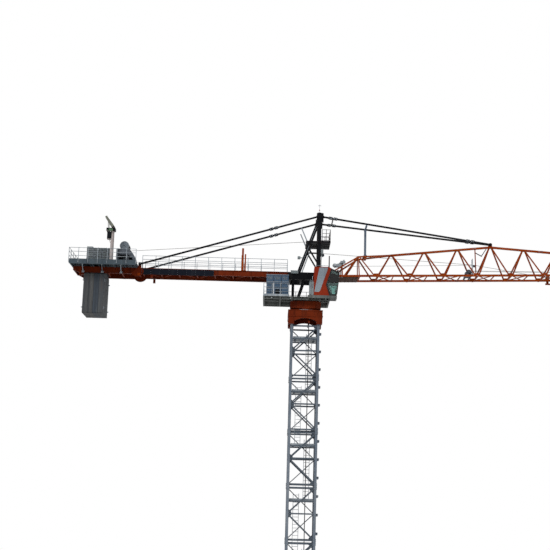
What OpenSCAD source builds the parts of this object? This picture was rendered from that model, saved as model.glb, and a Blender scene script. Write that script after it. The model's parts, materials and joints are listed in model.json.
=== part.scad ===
// Tower crane with a saddle jib, a counter-jib and a tie-bar head, at half of its real size.
// Millimetres. The origin is on the mast's axis under the base frame, +X runs along the jib,
// -Y is the side of the cab and +Z is up.

/* [Base] */
// Height of the cross beams under the mast
base_h = 300; // [240:10:420]
// Width of the cross beams
base_beam_w = 210; // [190:5:280]
// Distance of each foot plate from the mast's axis, along X and along Y
foot_at = 1080; // [960:10:1300]
// Width of a square foot plate
foot_w = 380; // [340:5:460]
// Thickness of a foot plate
foot_t = 30; // [20:2:50]
// Spacing of the anchor holes in a foot plate
anchor_pitch = 280; // [260:5:300]
// Diameter of an anchor hole
anchor_d = 36; // [24:2:44]

/* [Mast] */
// Width of the mast over its legs
mast_w = 1150; // [1050:10:1250]
// Height of one mast section
section_h = 2100; // [1900:10:2400]
// Width of a mast leg
leg_w = 100; // [80:5:120]
// Width of a horizontal bar of the mast
mast_bar_w = 56; // [40:2:70]
// Width of a diagonal bar of the mast
mast_brace_w = 50; // [34:2:60]
// Length of the joint block at each end of a leg
leg_block_h = 130; // [90:10:200]
// Distance from a section's top down to its platform
platform_drop = 550; // [400:10:700]
// Thickness of a platform in the mast
platform_t = 14; // [8:1:24]
// Width of the mast ladder
mast_ladder_w = 220; // [180:10:280]
// Diameter of the supply cable in the mast
cable_d = 34; // [20:2:44]

/* [Slewing part] */
// Width of the ring support on top of the mast
support_w = 1350; // [1290:10:1420]
// Height of the ring support
support_h = 560; // [480:10:680]
// Thickness of the ring support's walls
support_t = 30; // [20:2:44]
// Outer radius of the slewing ring
ring_r = 600; // [560:5:620]
// Radial width of the slewing ring
ring_w = 140; // [110:5:160]
// Height of each race of the slewing ring
race_h = 40; // [30:2:60]
// Running gap between the races
race_gap = 0.3; // [0.2:0.1:0.6]
// Width of the turntable
turntable_w = 1220; // [1220:5:1300]
// Height of the turntable
turntable_h = 290; // [260:5:320]

/* [Machinery deck] */
// Length of the deck behind the mast's axis
deck_back = 1700; // [1600:10:1850]
// Length of the deck in front of the mast's axis
deck_front = 950; // [860:10:1040]
// Width of the deck
deck_w = 1700; // [1640:10:1760]
// Height of the deck's edge beams
deck_h = 125; // [100:5:150]
// Thickness of the deck's floor plate
deck_plate_t = 16; // [10:1:24]
// Height of the handrails
rail_h = 525; // [480:5:600]
// Diameter of the handrail tubes
rail_d = 22; // [16:1:26]

/* [Cab] */
// Width of the cab, across the jib
cab_w = 630; // [560:10:700]
// Length of the cab's roof
cab_l = 1010; // [940:10:1080]
// Height of the cab
cab_h = 1130; // [1060:10:1200]
// Thickness of the cab's walls
cab_t = 26; // [20:2:34]
// Thickness of the cab's glass
glass_t = 10; // [6:1:14]

/* [Tower head] */
// Spacing of the chords, girders and head legs, across the jib
truss_w = 1050; // [980:10:1100]
// Height of the head's base frame over the mast
head_base_z = 1800; // [1740:10:1860]
// Depth of the head's base frame
head_base_h = 300; // [260:5:340]
// Width of the head's front legs
head_leg_w = 140; // [110:5:160]
// Height of the pendant pins over the mast
head_pin_z = 4400; // [4200:10:4600]
// Height of the head's walkway over the mast
head_walk_z = 3340; // [3200:10:3440]

/* [Counter-jib] */
// Depth of the inner girders
girder_h = 225; // [190:5:260]
// Width of the girders
girder_w = 80; // [60:5:90]
// X distance from the mast to the joint of the counter-jib
counter_joint = 6600; // [6450:10:6700]
// X distance from the mast to the end of the counter-jib
counter_end = 9150; // [9100:10:9300]
// Number of counterweight slabs
slab_count = 4; // [2:1:4]
// Depth of the outer girders
outer_h = 250; // [230:5:290]
// Length of the panel on the girder's side
panel_l = 2880; // [2400:20:3400]
// Thickness of one counterweight slab
slab_t = 200; // [160:5:220]
// Height of a counterweight slab
slab_h = 1850; // [1500:10:2000]
// Width of a slab's neck, between the girders
slab_neck_w = 840; // [780:10:850]
// Width of a slab below the girders
slab_w = 1280; // [1100:10:1340]
// Width of the winch platform
winch_deck_w = 2400; // [2200:20:2500]
// Height of the winch platform over the girders
winch_deck_t = 100; // [80:5:130]

/* [Jib] */
// Slope of the jib
jib_rise = 1.8; // [0.5:0.1:3]
// Length of one bay of the jib
bay_l = 1350; // [1300:10:1380]
// Depth of the jib at its first top node
jib_depth = 840; // [780:10:900]
// Gain in depth of the jib from bay to bay
depth_step = 109; // [90:1:120]
// Loss in depth of the jib from bay to bay past the pendants
depth_fall = 130; // [100:5:160]
// Width of the jib's top chord
top_chord_w = 80; // [66:2:90]
// Width of the jib's bottom chords
low_chord_w = 76; // [64:2:84]
// Width of the jib's diagonals
lacing_w = 46; // [34:2:54]
// Height of the tie bars
tie_h = 72; // [54:2:84]
// Thickness of the tie bars
tie_t = 28; // [20:2:34]

/* [Trolley and hook] */
// X distance from the mast to the trolley
trolley_x = 10225; // [10100:5:10350]
// Diameter of a trolley wheel
wheel_d = 160; // [130:5:180]
// Length of the rope falls to the hook block
fall_l = 420; // [300:10:900]

/* [Hidden] */

section_count = 6;
eps = 0.3;
seat_t = 24;
leg_at = (mast_w - leg_w) / 2;
mast_top = base_h + section_count * section_h;
hatch_w = mast_ladder_w + 90;
ladder_x = 190;
ladder_y = 210;
cable_x = 150;
cable_y = -250;

ring_z = mast_top + support_h;
ring_in = ring_r - ring_w;
turntable_z = ring_z + race_h + race_gap;
deck_z = turntable_z + race_h + turntable_h;
deck_top = deck_z + deck_h;
deck_edge = deck_w / 2;

side_y = truss_w / 2;
frame_low = mast_top + head_base_z;
frame_top = frame_low + head_base_h;
frame_back = -730;
frame_front = 600;
frame_bar = 90;
cab_x0 = 290;
cab_door_y = [300, 570];
cab_front_margin = 46;
cab_y1 = -side_y - 95;
cab_y0 = cab_y1 - cab_w;
front_leg_x = 500;
pin_z = mast_top + head_pin_z;
pin_r = 30;
eye_t = 44;
eye_r = 62;
cheek_t = 100;
cheek_low = pin_z - 200;
cheek_top = pin_z + 160;
counter_pin_x = 405;
jib_pin_x = 620;
tie_y = side_y + cheek_t / 2 + eps + eye_t / 2;
rake_foot = -330;
rake_head = 415;
rake_w = 96;
walk_bar_h = 66;
walk_bar_z = mast_top + head_walk_z - walk_bar_h / 2;
brace_z = frame_top + 1050;

girder_top = frame_top;
girder_low = girder_top - girder_h;
outer_low = girder_top - outer_h;
walk_t = 12;
walk_seat = girder_top - 14;
slab_shelf = girder_top - 190;
slab_top = girder_top - 40;
slab_pitch = slab_t + 8;
slab_at = counter_end - 278 - slab_count * slab_pitch;
winch_deck_top = girder_top + winch_deck_t;
winch_deck_half = winch_deck_w / 2;
winch_deck_x0 = -counter_end - 250;
winch_deck_x1 = -counter_joint - 140;
counter_lug_x = -counter_joint - 70;
counter_lug_z = girder_top + 150;

jib_x = 650;
jib_z = frame_low + 180;
root_eye_r = jib_x - frame_front - 2;
root_shift = 12;
chord_start = 90;
first_node = 800;
anchor_bay = 5;
anchor_lug_t = 40;
anchor_tie_y = anchor_lug_t / 2 + eps + eye_t / 2;
spreader_t = 0.06;
spreader_w = 44;
thin_bar_w = 32;
foot_gap = 66;
head_gap = 40;
rake_start = 130;
root_head_y = truss_w / 4;
root_bar_w = 56;
prop_x = 2400;
prop_u = (prop_x - jib_x) / cos(jib_rise);

function node_u(k) = first_node + k * bay_l;
function apex_u(k) = first_node + (k - 0.5) * bay_l;
function apex_h(k) = k <= anchor_bay
  ? jib_depth + (k - 1) * depth_step
  : max(jib_depth, jib_depth + (anchor_bay - 1) * depth_step - (k - anchor_bay) * depth_fall);
function jib_at(u, v) = [
  jib_x + u * cos(jib_rise) - v * sin(jib_rise), jib_z + u * sin(jib_rise) + v * cos(jib_rise)
];
function mix(a, b, t) = a + (b - a) * t;
function chord_z(x) = jib_z + (x - jib_x) * tan(jib_rise);

anchor_u = apex_u(anchor_bay);
anchor_v = apex_h(anchor_bay) + top_chord_w / 2 + eye_r + 10;
anchor_at = jib_at(anchor_u, anchor_v);
tip_end = node_u(10) + 0.5 * bay_l;
tip_sheave_u = tip_end + 60;
tip_sheave_v = 60;
tip_sheave_r = 80;
winch_u = node_u(4) - 420;
winch_drum_u = winch_u + 150;
winch_drum_v = low_chord_w / 2 + 170;
winch_drum_r = 78;
rope_r = 7;
trolley_hang = 120;
sheave_r = 70;
function rake_x(z) = mix(rake_foot, rake_head, (z - frame_top) / (cheek_low - frame_top));

module bar(p, q, w, h) {
  d = q - p;
  translate(p)
    rotate([0, acos(d[2] / norm(d)), atan2(d[1], d[0])])
      translate([-h / 2, -w / 2, 0])
        cube([h, w, norm(d)]);
}

module rod(p, q, r, n = 8) {
  d = q - p;
  translate(p)
    rotate([0, acos(d[2] / norm(d)), atan2(d[1], d[0])])
      cylinder(h = norm(d), r = r, $fn = n);
}

module box(x, y, z) {
  translate([x[0], y[0], z[0]])
    cube([x[1] - x[0], y[1] - y[0], z[1] - z[0]]);
}

module pin_y(x, z, y0, y1, r) {
  translate([x, y1, z])
    rotate([90, 0, 0])
      rotate(63)
        cylinder(h = y1 - y0, r = r, $fn = 32);
}

module pin_z_at(x, y, z0, z1, r) {
  translate([x, y, z0])
    cylinder(h = z1 - z0, r = r, $fn = 32);
}

module plate_y(points, y0, y1) {
  translate([0, y1, 0])
    rotate([90, 0, 0])
      linear_extrude(y1 - y0)
        polygon(points);
}

module square_ring(w_out, w_in, z0, z1) {
  difference() {
    box([-w_out / 2, w_out / 2], [-w_out / 2, w_out / 2], [z0, z1]);
    box([-w_in / 2, w_in / 2], [-w_in / 2, w_in / 2], [z0 - 1, z1 + 1]);
  }
}

function fillet(p, r, n = 4) = [
  for (i = [0 : len(p) - 1])
    let (
      a = p[(i + len(p) - 1) % len(p)], b = p[i], c = p[(i + 1) % len(p)],
      t = min(r, 0.45 * min(norm(a - b), norm(c - b))),
      from = b + (a - b) / norm(a - b) * t, to = b + (c - b) / norm(c - b) * t
    )
    for (j = [0 : n]) mix(mix(from, b, j / n), mix(b, to, j / n), j / n)
];

module handrail(points, height, foot = 0) {
  for (p = points)
    rod(p + [0, 0, foot], p + [0, 0, height], rail_d / 2);
  for (i = [0 : len(points) - 2])
    for (level = [0.36, 0.68, 0.975])
      rod(
        points[i] + [0, 0, height * level], points[i + 1] + [0, 0, height * level],
        rail_d * 0.42
      );
}

function row(p, q, n) = [for (i = [0 : n]) p + (q - p) * i / n];

module anchor_foot() {
  difference() {
    box([-foot_w / 2, foot_w / 2], [-foot_w / 2, foot_w / 2], [0, foot_t]);
    for (sx = [-1, 1], sy = [-1, 1])
      translate([sx * anchor_pitch / 2, sy * anchor_pitch / 2, -1])
        cylinder(h = foot_t + 2, r = anchor_d / 2, $fn = 32);
  }
}

module base_frame() {
  beam_l = foot_at * sqrt(2) + 60;
  color("dimgray") {
    difference() {
      for (a = [45, -45])
        rotate([0, 0, a])
          box([-beam_l, beam_l], [-base_beam_w / 2, base_beam_w / 2], [0, base_h - seat_t]);
      for (sx = [-1, 1], sy = [-1, 1])
        translate([sx * foot_at, sy * foot_at, 0])
          for (hx = [-1, 1], hy = [-1, 1])
            translate([hx * anchor_pitch / 2, hy * anchor_pitch / 2, -1])
              cylinder(h = base_h + 2, r = anchor_d, $fn = 32);
    }
    for (sx = [-1, 1], sy = [-1, 1]) {
      translate([sx * foot_at, sy * foot_at, 0]) anchor_foot();
      translate([sx * leg_at, sy * leg_at, 0])
        box([-leg_w * 0.85, leg_w * 0.85], [-leg_w * 0.85, leg_w * 0.85], [base_h - seat_t - 2, base_h]);
    }
  }
}

module mast_face(z, mirrored) {
  m = mirrored ? -1 : 1;
  low = z + leg_block_h / 2;
  mid = z + section_h / 2;
  high = z + section_h - leg_block_h / 2;
  inner = leg_at - leg_w / 2;
  t = 12;
  for (level = [low, mid, high])
    bar([-leg_at, -leg_at, level], [leg_at, -leg_at, level], mast_bar_w, mast_bar_w);
  bar([-m * leg_at, -leg_at, mid], [m * leg_at, -leg_at, high], mast_brace_w, mast_brace_w);
  bar([-m * leg_at, -leg_at, mid], [m * leg_at, -leg_at, low], mast_brace_w, mast_brace_w);
  plate_y(
    [
      [-m * (inner + 10), mid - 170], [-m * (inner - 110), mid - 60], [-m * (inner - 110), mid + 60],
      [-m * (inner + 10), mid + 170]
    ],
    -leg_at - t / 2, -leg_at + t / 2
  );
  for (end = [[low, 1], [high, -1]])
    plate_y(
      [
        [m * (inner + 10), end[0] - end[1] * 20], [m * (inner - 130), end[0] - end[1] * 20],
        [m * (inner - 130), end[0] + end[1] * 60], [m * (inner + 10), end[0] + end[1] * 190]
      ],
      -leg_at - t / 2, -leg_at + t / 2
    );
}

module mast_section(z) {
  block = leg_w + 22;
  shelf = z + section_h - platform_drop;
  color("lightslategray") {
    for (sx = [-1, 1], sy = [-1, 1])
      translate([sx * leg_at, sy * leg_at, z]) {
        box([-leg_w / 2, leg_w / 2], [-leg_w / 2, leg_w / 2], [0, section_h]);
        for (end = [0, section_h - leg_block_h])
          box([-block / 2, block / 2], [-block / 2, block / 2], [end, end + leg_block_h]);
      }
    for (turn = [0 : 3])
      rotate([0, 0, 90 * turn])
        mast_face(z, turn == 2 || turn == 3);
    for (sy = [-1, 1], i = [0 : 2])
      translate([leg_at + leg_w / 2 - 2, sy * leg_at, z + section_h * (i + 0.5) / 3])
        box([0, 34], [-12, 12], [-22, 22]);
    for (sx = [-1, 1])
      bar(
        [sx * leg_at * 0.7, -leg_at, shelf - mast_bar_w / 2],
        [sx * leg_at * 0.7, leg_at, shelf - mast_bar_w / 2], mast_bar_w, mast_bar_w
      );
    for (sy = [-1, 1])
      bar(
        [-leg_at, sy * leg_at, shelf - mast_bar_w / 2],
        [leg_at, sy * leg_at, shelf - mast_bar_w / 2], mast_bar_w * 0.9, mast_bar_w * 0.9
      );
  }
}

module mast_platforms() {
  half = leg_at - 60;
  color("gray")
    for (k = [1 : section_count])
      difference() {
        box([-half, half], [-half, half], platform_level(k) + [0, platform_t]);
        translate([ladder_side(k - 1) * ladder_x, 0, 0])
          box(
            [-hatch_w / 2, hatch_w / 2], [ladder_y - 260, ladder_y + 60],
            platform_level(k) + [-1, platform_t + 1]
          );
        translate([cable_x, cable_y, platform_level(k)[0] - 1])
          cylinder(h = platform_t + 2, r = cable_d / 2 + eps, $fn = 32);
      }
}

function platform_level(k) = let (z = base_h + k * section_h - platform_drop) [z, z];
function platform_top(k) = platform_level(k)[0] + platform_t;
function ladder_side(k) = k % 2 == 0 ? -1 : 1;

module ladder_run(z0, z1, y, width, pitch) {
  count = floor((z1 - z0 - 60) / pitch);
  for (sx = [-1, 1])
    box([sx * width / 2 - 9, sx * width / 2 + 9], [y - 16, y + 16], [z0, z1]);
  for (i = [0 : count])
    rod([-width / 2, y, z0 + 60 + i * pitch], [width / 2, y, z0 + 60 + i * pitch], 8, 6);
}

module mast_ladders() {
  color("silver")
    for (k = [0 : section_count - 1]) {
      foot = k == 0 ? base_h - seat_t : platform_top(k);
      translate([ladder_side(k) * ladder_x, 0, 0])
        ladder_run(foot, platform_top(k + 1) + 260, ladder_y, mast_ladder_w, 140);
    }
}

module mast_cable() {
  color("black")
    pin_z_at(cable_x, cable_y, base_h - seat_t, mast_top + 60, cable_d / 2);
}

module ring_support() {
  half = support_w / 2;
  arch_r = support_w * 0.62;
  arch_rise = 190;
  color("firebrick") {
    difference() {
      box([-half, half], [-half, half], [mast_top + 40, ring_z - 20]);
      box(
        [-half + support_t, half - support_t], [-half + support_t, half - support_t],
        [mast_top, ring_z + 1]
      );
      for (turn = [0, 90])
        rotate([0, 0, turn])
          translate([0, half + 1, mast_top + 40 + arch_rise - arch_r])
            rotate([90, 0, 0])
              cylinder(h = support_w + 2, r = arch_r, $fn = 96);
    }
    for (sx = [-1, 1], sy = [-1, 1])
      box(
        [min(sx * (leg_at - 85), sx * (half - 6)), max(sx * (leg_at - 85), sx * (half - 6))],
        [min(sy * (leg_at - 85), sy * (half - 6)), max(sy * (leg_at - 85), sy * (half - 6))],
        [mast_top, ring_z - 30]
      );
    difference() {
      box([-half - 14, half + 14], [-half - 14, half + 14], [ring_z - 40, ring_z]);
      translate([0, 0, ring_z - 41])
        cylinder(h = 42, r = ring_in - 30, $fn = 96);
    }
    square_ring(support_w + 36, support_w - 10, mast_top + support_h * 0.52, mast_top + support_h * 0.58);
    for (turn = [0 : 3])
      rotate([0, 0, 90 * turn])
        for (x = [-0.34, 0, 0.34])
          box(
            [x * support_w - 9, x * support_w + 9], [-half - 16, -half + 8],
            [mast_top + support_h * 0.55, ring_z - 20]
          );
    bar(
      [cable_x, -half + 10, mast_top + 90], [cable_x, half - 10, mast_top + 90], 60, 60
    );
  }
}

module slewing_ring() {
  color("slategray")
    translate([0, 0, ring_z])
      difference() {
        cylinder(h = race_h, r = ring_r, $fn = 128);
        translate([0, 0, -1]) cylinder(h = race_h + 2, r = ring_in, $fn = 128);
      }
}

module turntable() {
  half = turntable_w / 2;
  cut = 180;
  body_z = turntable_z + race_h;
  color("firebrick")
    difference() {
      union() {
        translate([0, 0, turntable_z]) cylinder(h = race_h + 4, r = ring_r, $fn = 128);
        translate([0, 0, body_z])
          linear_extrude(turntable_h)
            polygon([
              [-half + cut, -half], [half - cut, -half], [half, -half + cut], [half, half - cut],
              [half - cut, half], [-half + cut, half], [-half, half - cut], [-half, -half + cut]
            ]);
      }
      translate([0, 0, turntable_z - 1])
        cylinder(h = race_h + turntable_h + 2, r = ring_in, $fn = 128);
    }
}

module channel_x(x0, x1, y, face, z0, z1, w, t) {
  box([x0, x1], [min(y, y + face * t), max(y, y + face * t)], [z0, z1]);
  for (z = [z0, z1 - t])
    box([x0, x1], [min(y, y + face * w), max(y, y + face * w)], [z, z + t]);
}

module machinery_deck() {
  t = 14;
  w = 70;
  support_low = deck_top - 110;
  hatch_r = 400;
  color("darkslategray")
    difference() {
      union() {
        for (s = [-1, 1]) {
          channel_x(-deck_back, deck_front, s * (deck_edge - w), s, deck_z, deck_top - 1, w, t);
          channel_x(-deck_back, deck_front, s * 430, s, deck_z, deck_top - 1, w, t);
        }
        for (x = [
          -deck_back, -deck_back * 0.62, deck_front - w, -turntable_w / 2 + 20, turntable_w / 2 - 90
        ])
          box([x, x + w], [-deck_edge + 1, deck_edge - 1], [deck_z + 3, deck_top - 2]);
        box(
          [-deck_back, deck_front], [-deck_edge, deck_edge], [deck_top - deck_plate_t, deck_top]
        );
        for (x = [cab_x0 - 230, cab_x0 + 0.45 * cab_l, cab_x0 + cab_l - 160])
          box([x, x + 60], [cab_y0, -deck_edge + 40], [support_low, deck_top - 2]);
        box([cab_x0 - 230, cab_x0 + cab_l - 100], [cab_y0, cab_y0 + 60], [support_low + 2, deck_top - 1]);
        box(
          [cab_x0 - 231, cab_x0 + cab_l - 99], [cab_y0 - 1, -deck_edge + 1],
          [deck_top - deck_plate_t, deck_top]
        );
      }
      translate([0, 0, deck_z - 1]) cylinder(h = deck_h + 2, r = hatch_r, $fn = 96);
    }
}

function cab_point(p) = [cab_x0 + p[0] * cab_l, deck_top + p[1] * cab_h];
function cab_corners() = [
  for (p = [[0, 0], [0.86, 0], [0.91, 0.07], [1, 0.83], [0.66, 0.97], [0.6, 1], [0, 1]]) cab_point(p)
];
function cab_outline() = fillet(cab_corners(), 36);
function shrink_cab(p, t) =
  let (c = cab_point([0.47, 0.48]))
  [
    for (q = p)
      [c[0] + (q[0] - c[0]) * (1 - 2.3 * t / cab_l), c[1] + (q[1] - c[1]) * (1 - 2.1 * t / cab_h)]
  ];
function side_window() = fillet(
  [
    for (p = [[0.64, 0.045], [0.84, 0.045], [0.885, 0.1], [0.955, 0.8], [0.68, 0.915], [0.5, 0.39]])
      cab_point(p)
  ],
  46
);

module front_opening(grow, y0, y1) {
  a = cab_corners()[2];
  b = cab_corners()[3];
  y = (y0 + y1) / 2;
  low = mix(a, b, 0.08) - [cab_t / 2, 0];
  high = mix(a, b, 0.93) - [cab_t / 2, 0];
  bar([low[0], y, low[1]], [high[0], y, high[1]], y1 - y0, grow);
}

module rear_opening(x0, x1) {
  box([x0, x1], [cab_y0 + cab_door_y[0], cab_y0 + cab_door_y[1]], [deck_top + 40, deck_top + 980]);
}

module cab_shell() {
  rib = 16;
  color("orangered")
    difference() {
      union() {
        plate_y(cab_outline(), cab_y0, cab_y1);
        for (x = [0.14, 0.32])
          box(
            [cab_x0 + x * cab_l, cab_x0 + x * cab_l + rib], [cab_y0 - 5, cab_y1 + 5],
            [deck_top + 60, deck_top + cab_h - 90]
          );
        box(
          [cab_x0 + 30, cab_x0 + 0.56 * cab_l], [cab_y0 + 40, cab_y1 - 40],
          [deck_top + cab_h - 5, deck_top + cab_h + 22]
        );
      }
      plate_y(shrink_cab(cab_outline(), cab_t), cab_y0 + cab_t, cab_y1 - cab_t);
      plate_y(side_window(), cab_y0 - 10, cab_y0 + cab_t + 1);
      plate_y(side_window(), cab_y1 - cab_t - 1, cab_y1 + 10);
      front_opening(90, cab_y0 + cab_front_margin, cab_y1 - cab_front_margin);
      rear_opening(cab_x0 - 1, cab_x0 + 60);
    }
}

module cab_glass() {
  color("black") {
    for (y = [cab_y0 + 6, cab_y1 - 6 - glass_t])
      plate_y(side_window(), y, y + glass_t);
    front_opening(glass_t, cab_y0 + cab_front_margin, cab_y1 - cab_front_margin);
    rear_opening(cab_x0 + 6, cab_x0 + 16);
  }
}

module cab_interior() {
  y = (cab_y0 + cab_y1) / 2;
  seat_x = cab_x0 + 0.38 * cab_l;
  floor_z = deck_top + 1.01 * cab_t;
  color("dimgray") {
    box([seat_x - 60, seat_x + 60], [y - 60, y + 60], [floor_z, floor_z + 190]);
    plate_y(
      fillet(
        [
          [seat_x - 130, floor_z + 180], [seat_x + 150, floor_z + 180], [seat_x + 150, floor_z + 240],
          [seat_x - 74, floor_z + 236], [seat_x - 96, floor_z + 572], [seat_x - 150, floor_z + 572]
        ],
        30
      ),
      y - 118, y + 118
    );
    for (s = [-1, 1])
      plate_y(
        fillet(
          [
            [seat_x - 40, floor_z], [seat_x + 180, floor_z], [seat_x + 180, floor_z + 300],
            [seat_x + 60, floor_z + 330], [seat_x - 40, floor_z + 330]
          ],
          24
        ),
        y + s * 175 - 40, y + s * 175 + 40
      );
  }
}

module cab_cooler() {
  x0 = cab_x0 - 182;
  x1 = cab_x0 - eps;
  y0 = cab_y0 + 16;
  y1 = cab_y0 + cab_door_y[0] - 26;
  color("gainsboro")
    difference() {
      plate_y(
        fillet(
          [
            [x0, deck_top + 70], [x0 + 70, deck_top], [x1, deck_top], [x1, deck_top + 540],
            [x0, deck_top + 540]
          ],
          44
        ),
        y0, y1
      );
      for (i = [0 : 5])
        box([x0 - 1, x0 + 14], [y0 + 40, y1 - 40], [deck_top + 170 + i * 52, deck_top + 196 + i * 52]);
    }
}

module head_base_frame() {
  color([0.09, 0.1, 0.12]) {
    for (s = [-1, 1]) {
      box(
        [frame_back, frame_front], [s * side_y - frame_bar / 2, s * side_y + frame_bar / 2],
        [frame_low, frame_top]
      );
      box(
        [front_leg_x - head_leg_w / 2, front_leg_x + head_leg_w / 2],
        [s * side_y - 40, s * side_y + 40], [deck_top, frame_low + 5]
      );
      box([-560, -470], [s * side_y - 38, s * side_y + 38], [deck_top, frame_low + 5]);
      raker(-330, deck_top, -90, frame_low + 20, 90, s * side_y - 36, s * side_y + 36);
      box([frame_front - 5, jib_x + 60], [s * side_y - 44, s * side_y - 26], [jib_z - 70, jib_z + 70]);
      box([frame_front - 5, jib_x + 60], [s * side_y + 26, s * side_y + 44], [jib_z - 70, jib_z + 70]);
      pin_y(jib_x, jib_z, s * side_y - 30, s * side_y + 30, pin_r * 0.8);
    }
    for (x = [frame_back + 20, -250, frame_front - 110])
      box([x, x + 86], [-side_y, side_y], [frame_low + 12, frame_top - 12]);
  }
}

module raker(x0, z0, x1, z1, w, y0, y1) {
  plate_y([[x0 - w / 2, z0], [x0 + w / 2, z0], [x1 + w / 2, z1], [x1 - w / 2, z1]], y0, y1);
}

module tower_head() {
  color([0.09, 0.1, 0.12]) {
    for (s = [-1, 1]) {
      box(
        [front_leg_x - head_leg_w / 2, front_leg_x + head_leg_w / 2],
        [s * side_y - 42, s * side_y + 42], [frame_top, cheek_low + 10]
      );
      raker(
        rake_foot, frame_top, rake_x(cheek_low + 14), cheek_low + 14, rake_w, s * side_y - 36,
        s * side_y + 36
      );
      box(
        [counter_pin_x - 30, jib_pin_x + 30], [s * side_y - cheek_t / 2, s * side_y + cheek_t / 2],
        [cheek_low, cheek_top]
      );
      for (x = [counter_pin_x, jib_pin_x])
        pin_y(x, pin_z, min(s * side_y, s * (tie_y + 30)), max(s * side_y, s * (tie_y + 30)), pin_r);
      bar([rake_x(brace_z), s * side_y, brace_z], [front_leg_x, s * side_y, frame_top + 300], 46, 60);
      bar([rake_x(brace_z), s * side_y, brace_z], [front_leg_x, s * side_y, brace_z], 44, 54);
    }
    bar([front_leg_x, -side_y, cheek_low + 180], [front_leg_x, side_y, cheek_low + 180], 150, 120);
    bar([front_leg_x, -side_y, frame_top + 80], [front_leg_x, side_y, frame_top + 80], 70, 66);
    for (x = [front_leg_x, rake_x(walk_bar_z)])
      bar([x, -side_y, walk_bar_z], [x, side_y, walk_bar_z], 70, walk_bar_h);
  }
}

module head_walkway() {
  z = mast_top + head_walk_z;
  x0 = -40;
  x1 = 950;
  half = side_y + 66;
  t = 30;
  slot_x = rake_x(z);
  color([0.2, 0.22, 0.24]) {
    difference() {
      box([x0, x1], [-half, half], [z, z + t]);
      for (s = [-1, 1]) {
        box(
          [front_leg_x - head_leg_w / 2 - eps, front_leg_x + head_leg_w / 2 + eps],
          [s * side_y - 42 - eps, s * side_y + 42 + eps], [z - 1, z + t + 1]
        );
        box(
          [slot_x - rake_w / 2 - eps, slot_x + rake_w / 2 + 14],
          [s * side_y - 36 - eps, s * side_y + 36 + eps],
          [z - 1, z + t + 1]
        );
      }
      box([250, 420], [-260, 260], [z - 1, z + t + 1]);
    }
    for (s = [-1, 1])
      handrail(
        row([610, s * (half - 16), z + t - 4], [x1 - 16, s * (half - 16), z + t - 4], 2), rail_h
      );
    handrail(row([x1 - 16, -half + 16, z + t - 4], [x1 - 16, half - 16, z + t - 4], 2), rail_h);
  }
}

module head_ladder() {
  foot_x = -207;
  top_x = 225;
  z1 = mast_top + head_walk_z;
  arm_foot = [0, side_y + 30, z1 + 30];
  arm_end = [-235, side_y + 30, z1 + 600];
  color("lightgray") {
    for (y = [-110, 110])
      raker(foot_x, frame_top - 12, top_x, z1, 30, y - 9, y + 9);
    for (i = [1 : 8])
      rod(
        [mix(foot_x, top_x, i / 9), -110, mix(frame_top, z1, i / 9)],
        [mix(foot_x, top_x, i / 9), 110, mix(frame_top, z1, i / 9)], 8, 6
      );
    both_sides() {
      box([arm_foot[0] - 30, arm_foot[0] + 30], [arm_foot[1] - 20, arm_foot[1] + 20], [z1 + 30, z1 + 70]);
      bar(arm_foot + [0, 0, 20], arm_end, 24, 44);
      rod(arm_end - [0, 30, 16], arm_end + [0, 30, -16], 20, 12);
    }
  }
}

module head_antenna() {
  stem_l = 250;
  whip_l = 280;
  color("gray") {
    rod([front_leg_x, 0, cheek_low + 240], [front_leg_x, 0, cheek_top + stem_l], 9);
    rod(
      [front_leg_x, 0, cheek_top + stem_l - 10], [front_leg_x, 0, cheek_top + stem_l - 10 + whip_l], 5
    );
  }
}

module i_girder(x0, x1, y, z0, z1, w, web, flange) {
  box([x0, x1], [y - web / 2, y + web / 2], [z0, z1]);
  for (z = [z0, z1 - flange])
    box([x0, x1], [y - w / 2, y + w / 2], [z, z + flange]);
}

module counter_jib_inner() {
  x0 = -counter_joint;
  x1 = frame_back;
  bays = 8;
  inset = 40;
  pitch = (x1 - x0 - 2 * inset) / bays;
  brace_z0 = girder_low + 84;
  color("saddlebrown") {
    for (s = [-1, 1])
      i_girder(x0, x1, s * side_y, girder_low, girder_top, girder_w, 20, 18);
    for (i = [0 : bays])
      let (x = x0 + inset + i * pitch) {
        box([x - 22, x + 22], [-side_y, side_y], [girder_low + 60, girder_low + 120]);
        for (s = [-1, 1])
          box(
            [x - 7, x + 7], [s * side_y - girder_w / 2 + 3, s * side_y + girder_w / 2 - 3],
            [girder_low + 17, girder_top - 17]
          );
      }
    for (i = [0 : bays - 1])
      bar(
        [x0 + inset + i * pitch, (i % 2 == 0 ? -1 : 1) * side_y, brace_z0],
        [x0 + inset + (i + 1) * pitch, (i % 2 == 0 ? 1 : -1) * side_y, brace_z0], 40, 40
      );
    for (i = [1 : bays - 1])
      box(
        [x0 + (i + 0.5) * pitch - 10, x0 + (i + 0.5) * pitch + 10], [-side_y, side_y],
        [girder_top - 60, walk_seat]
      );
    for (pipe = [[-2600, 632], [-2500, 300]])
      rod([pipe[0], -side_y - 27, girder_top - 2], [pipe[0], -side_y - 27, girder_top + pipe[1]], 12);
  }
}

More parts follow.
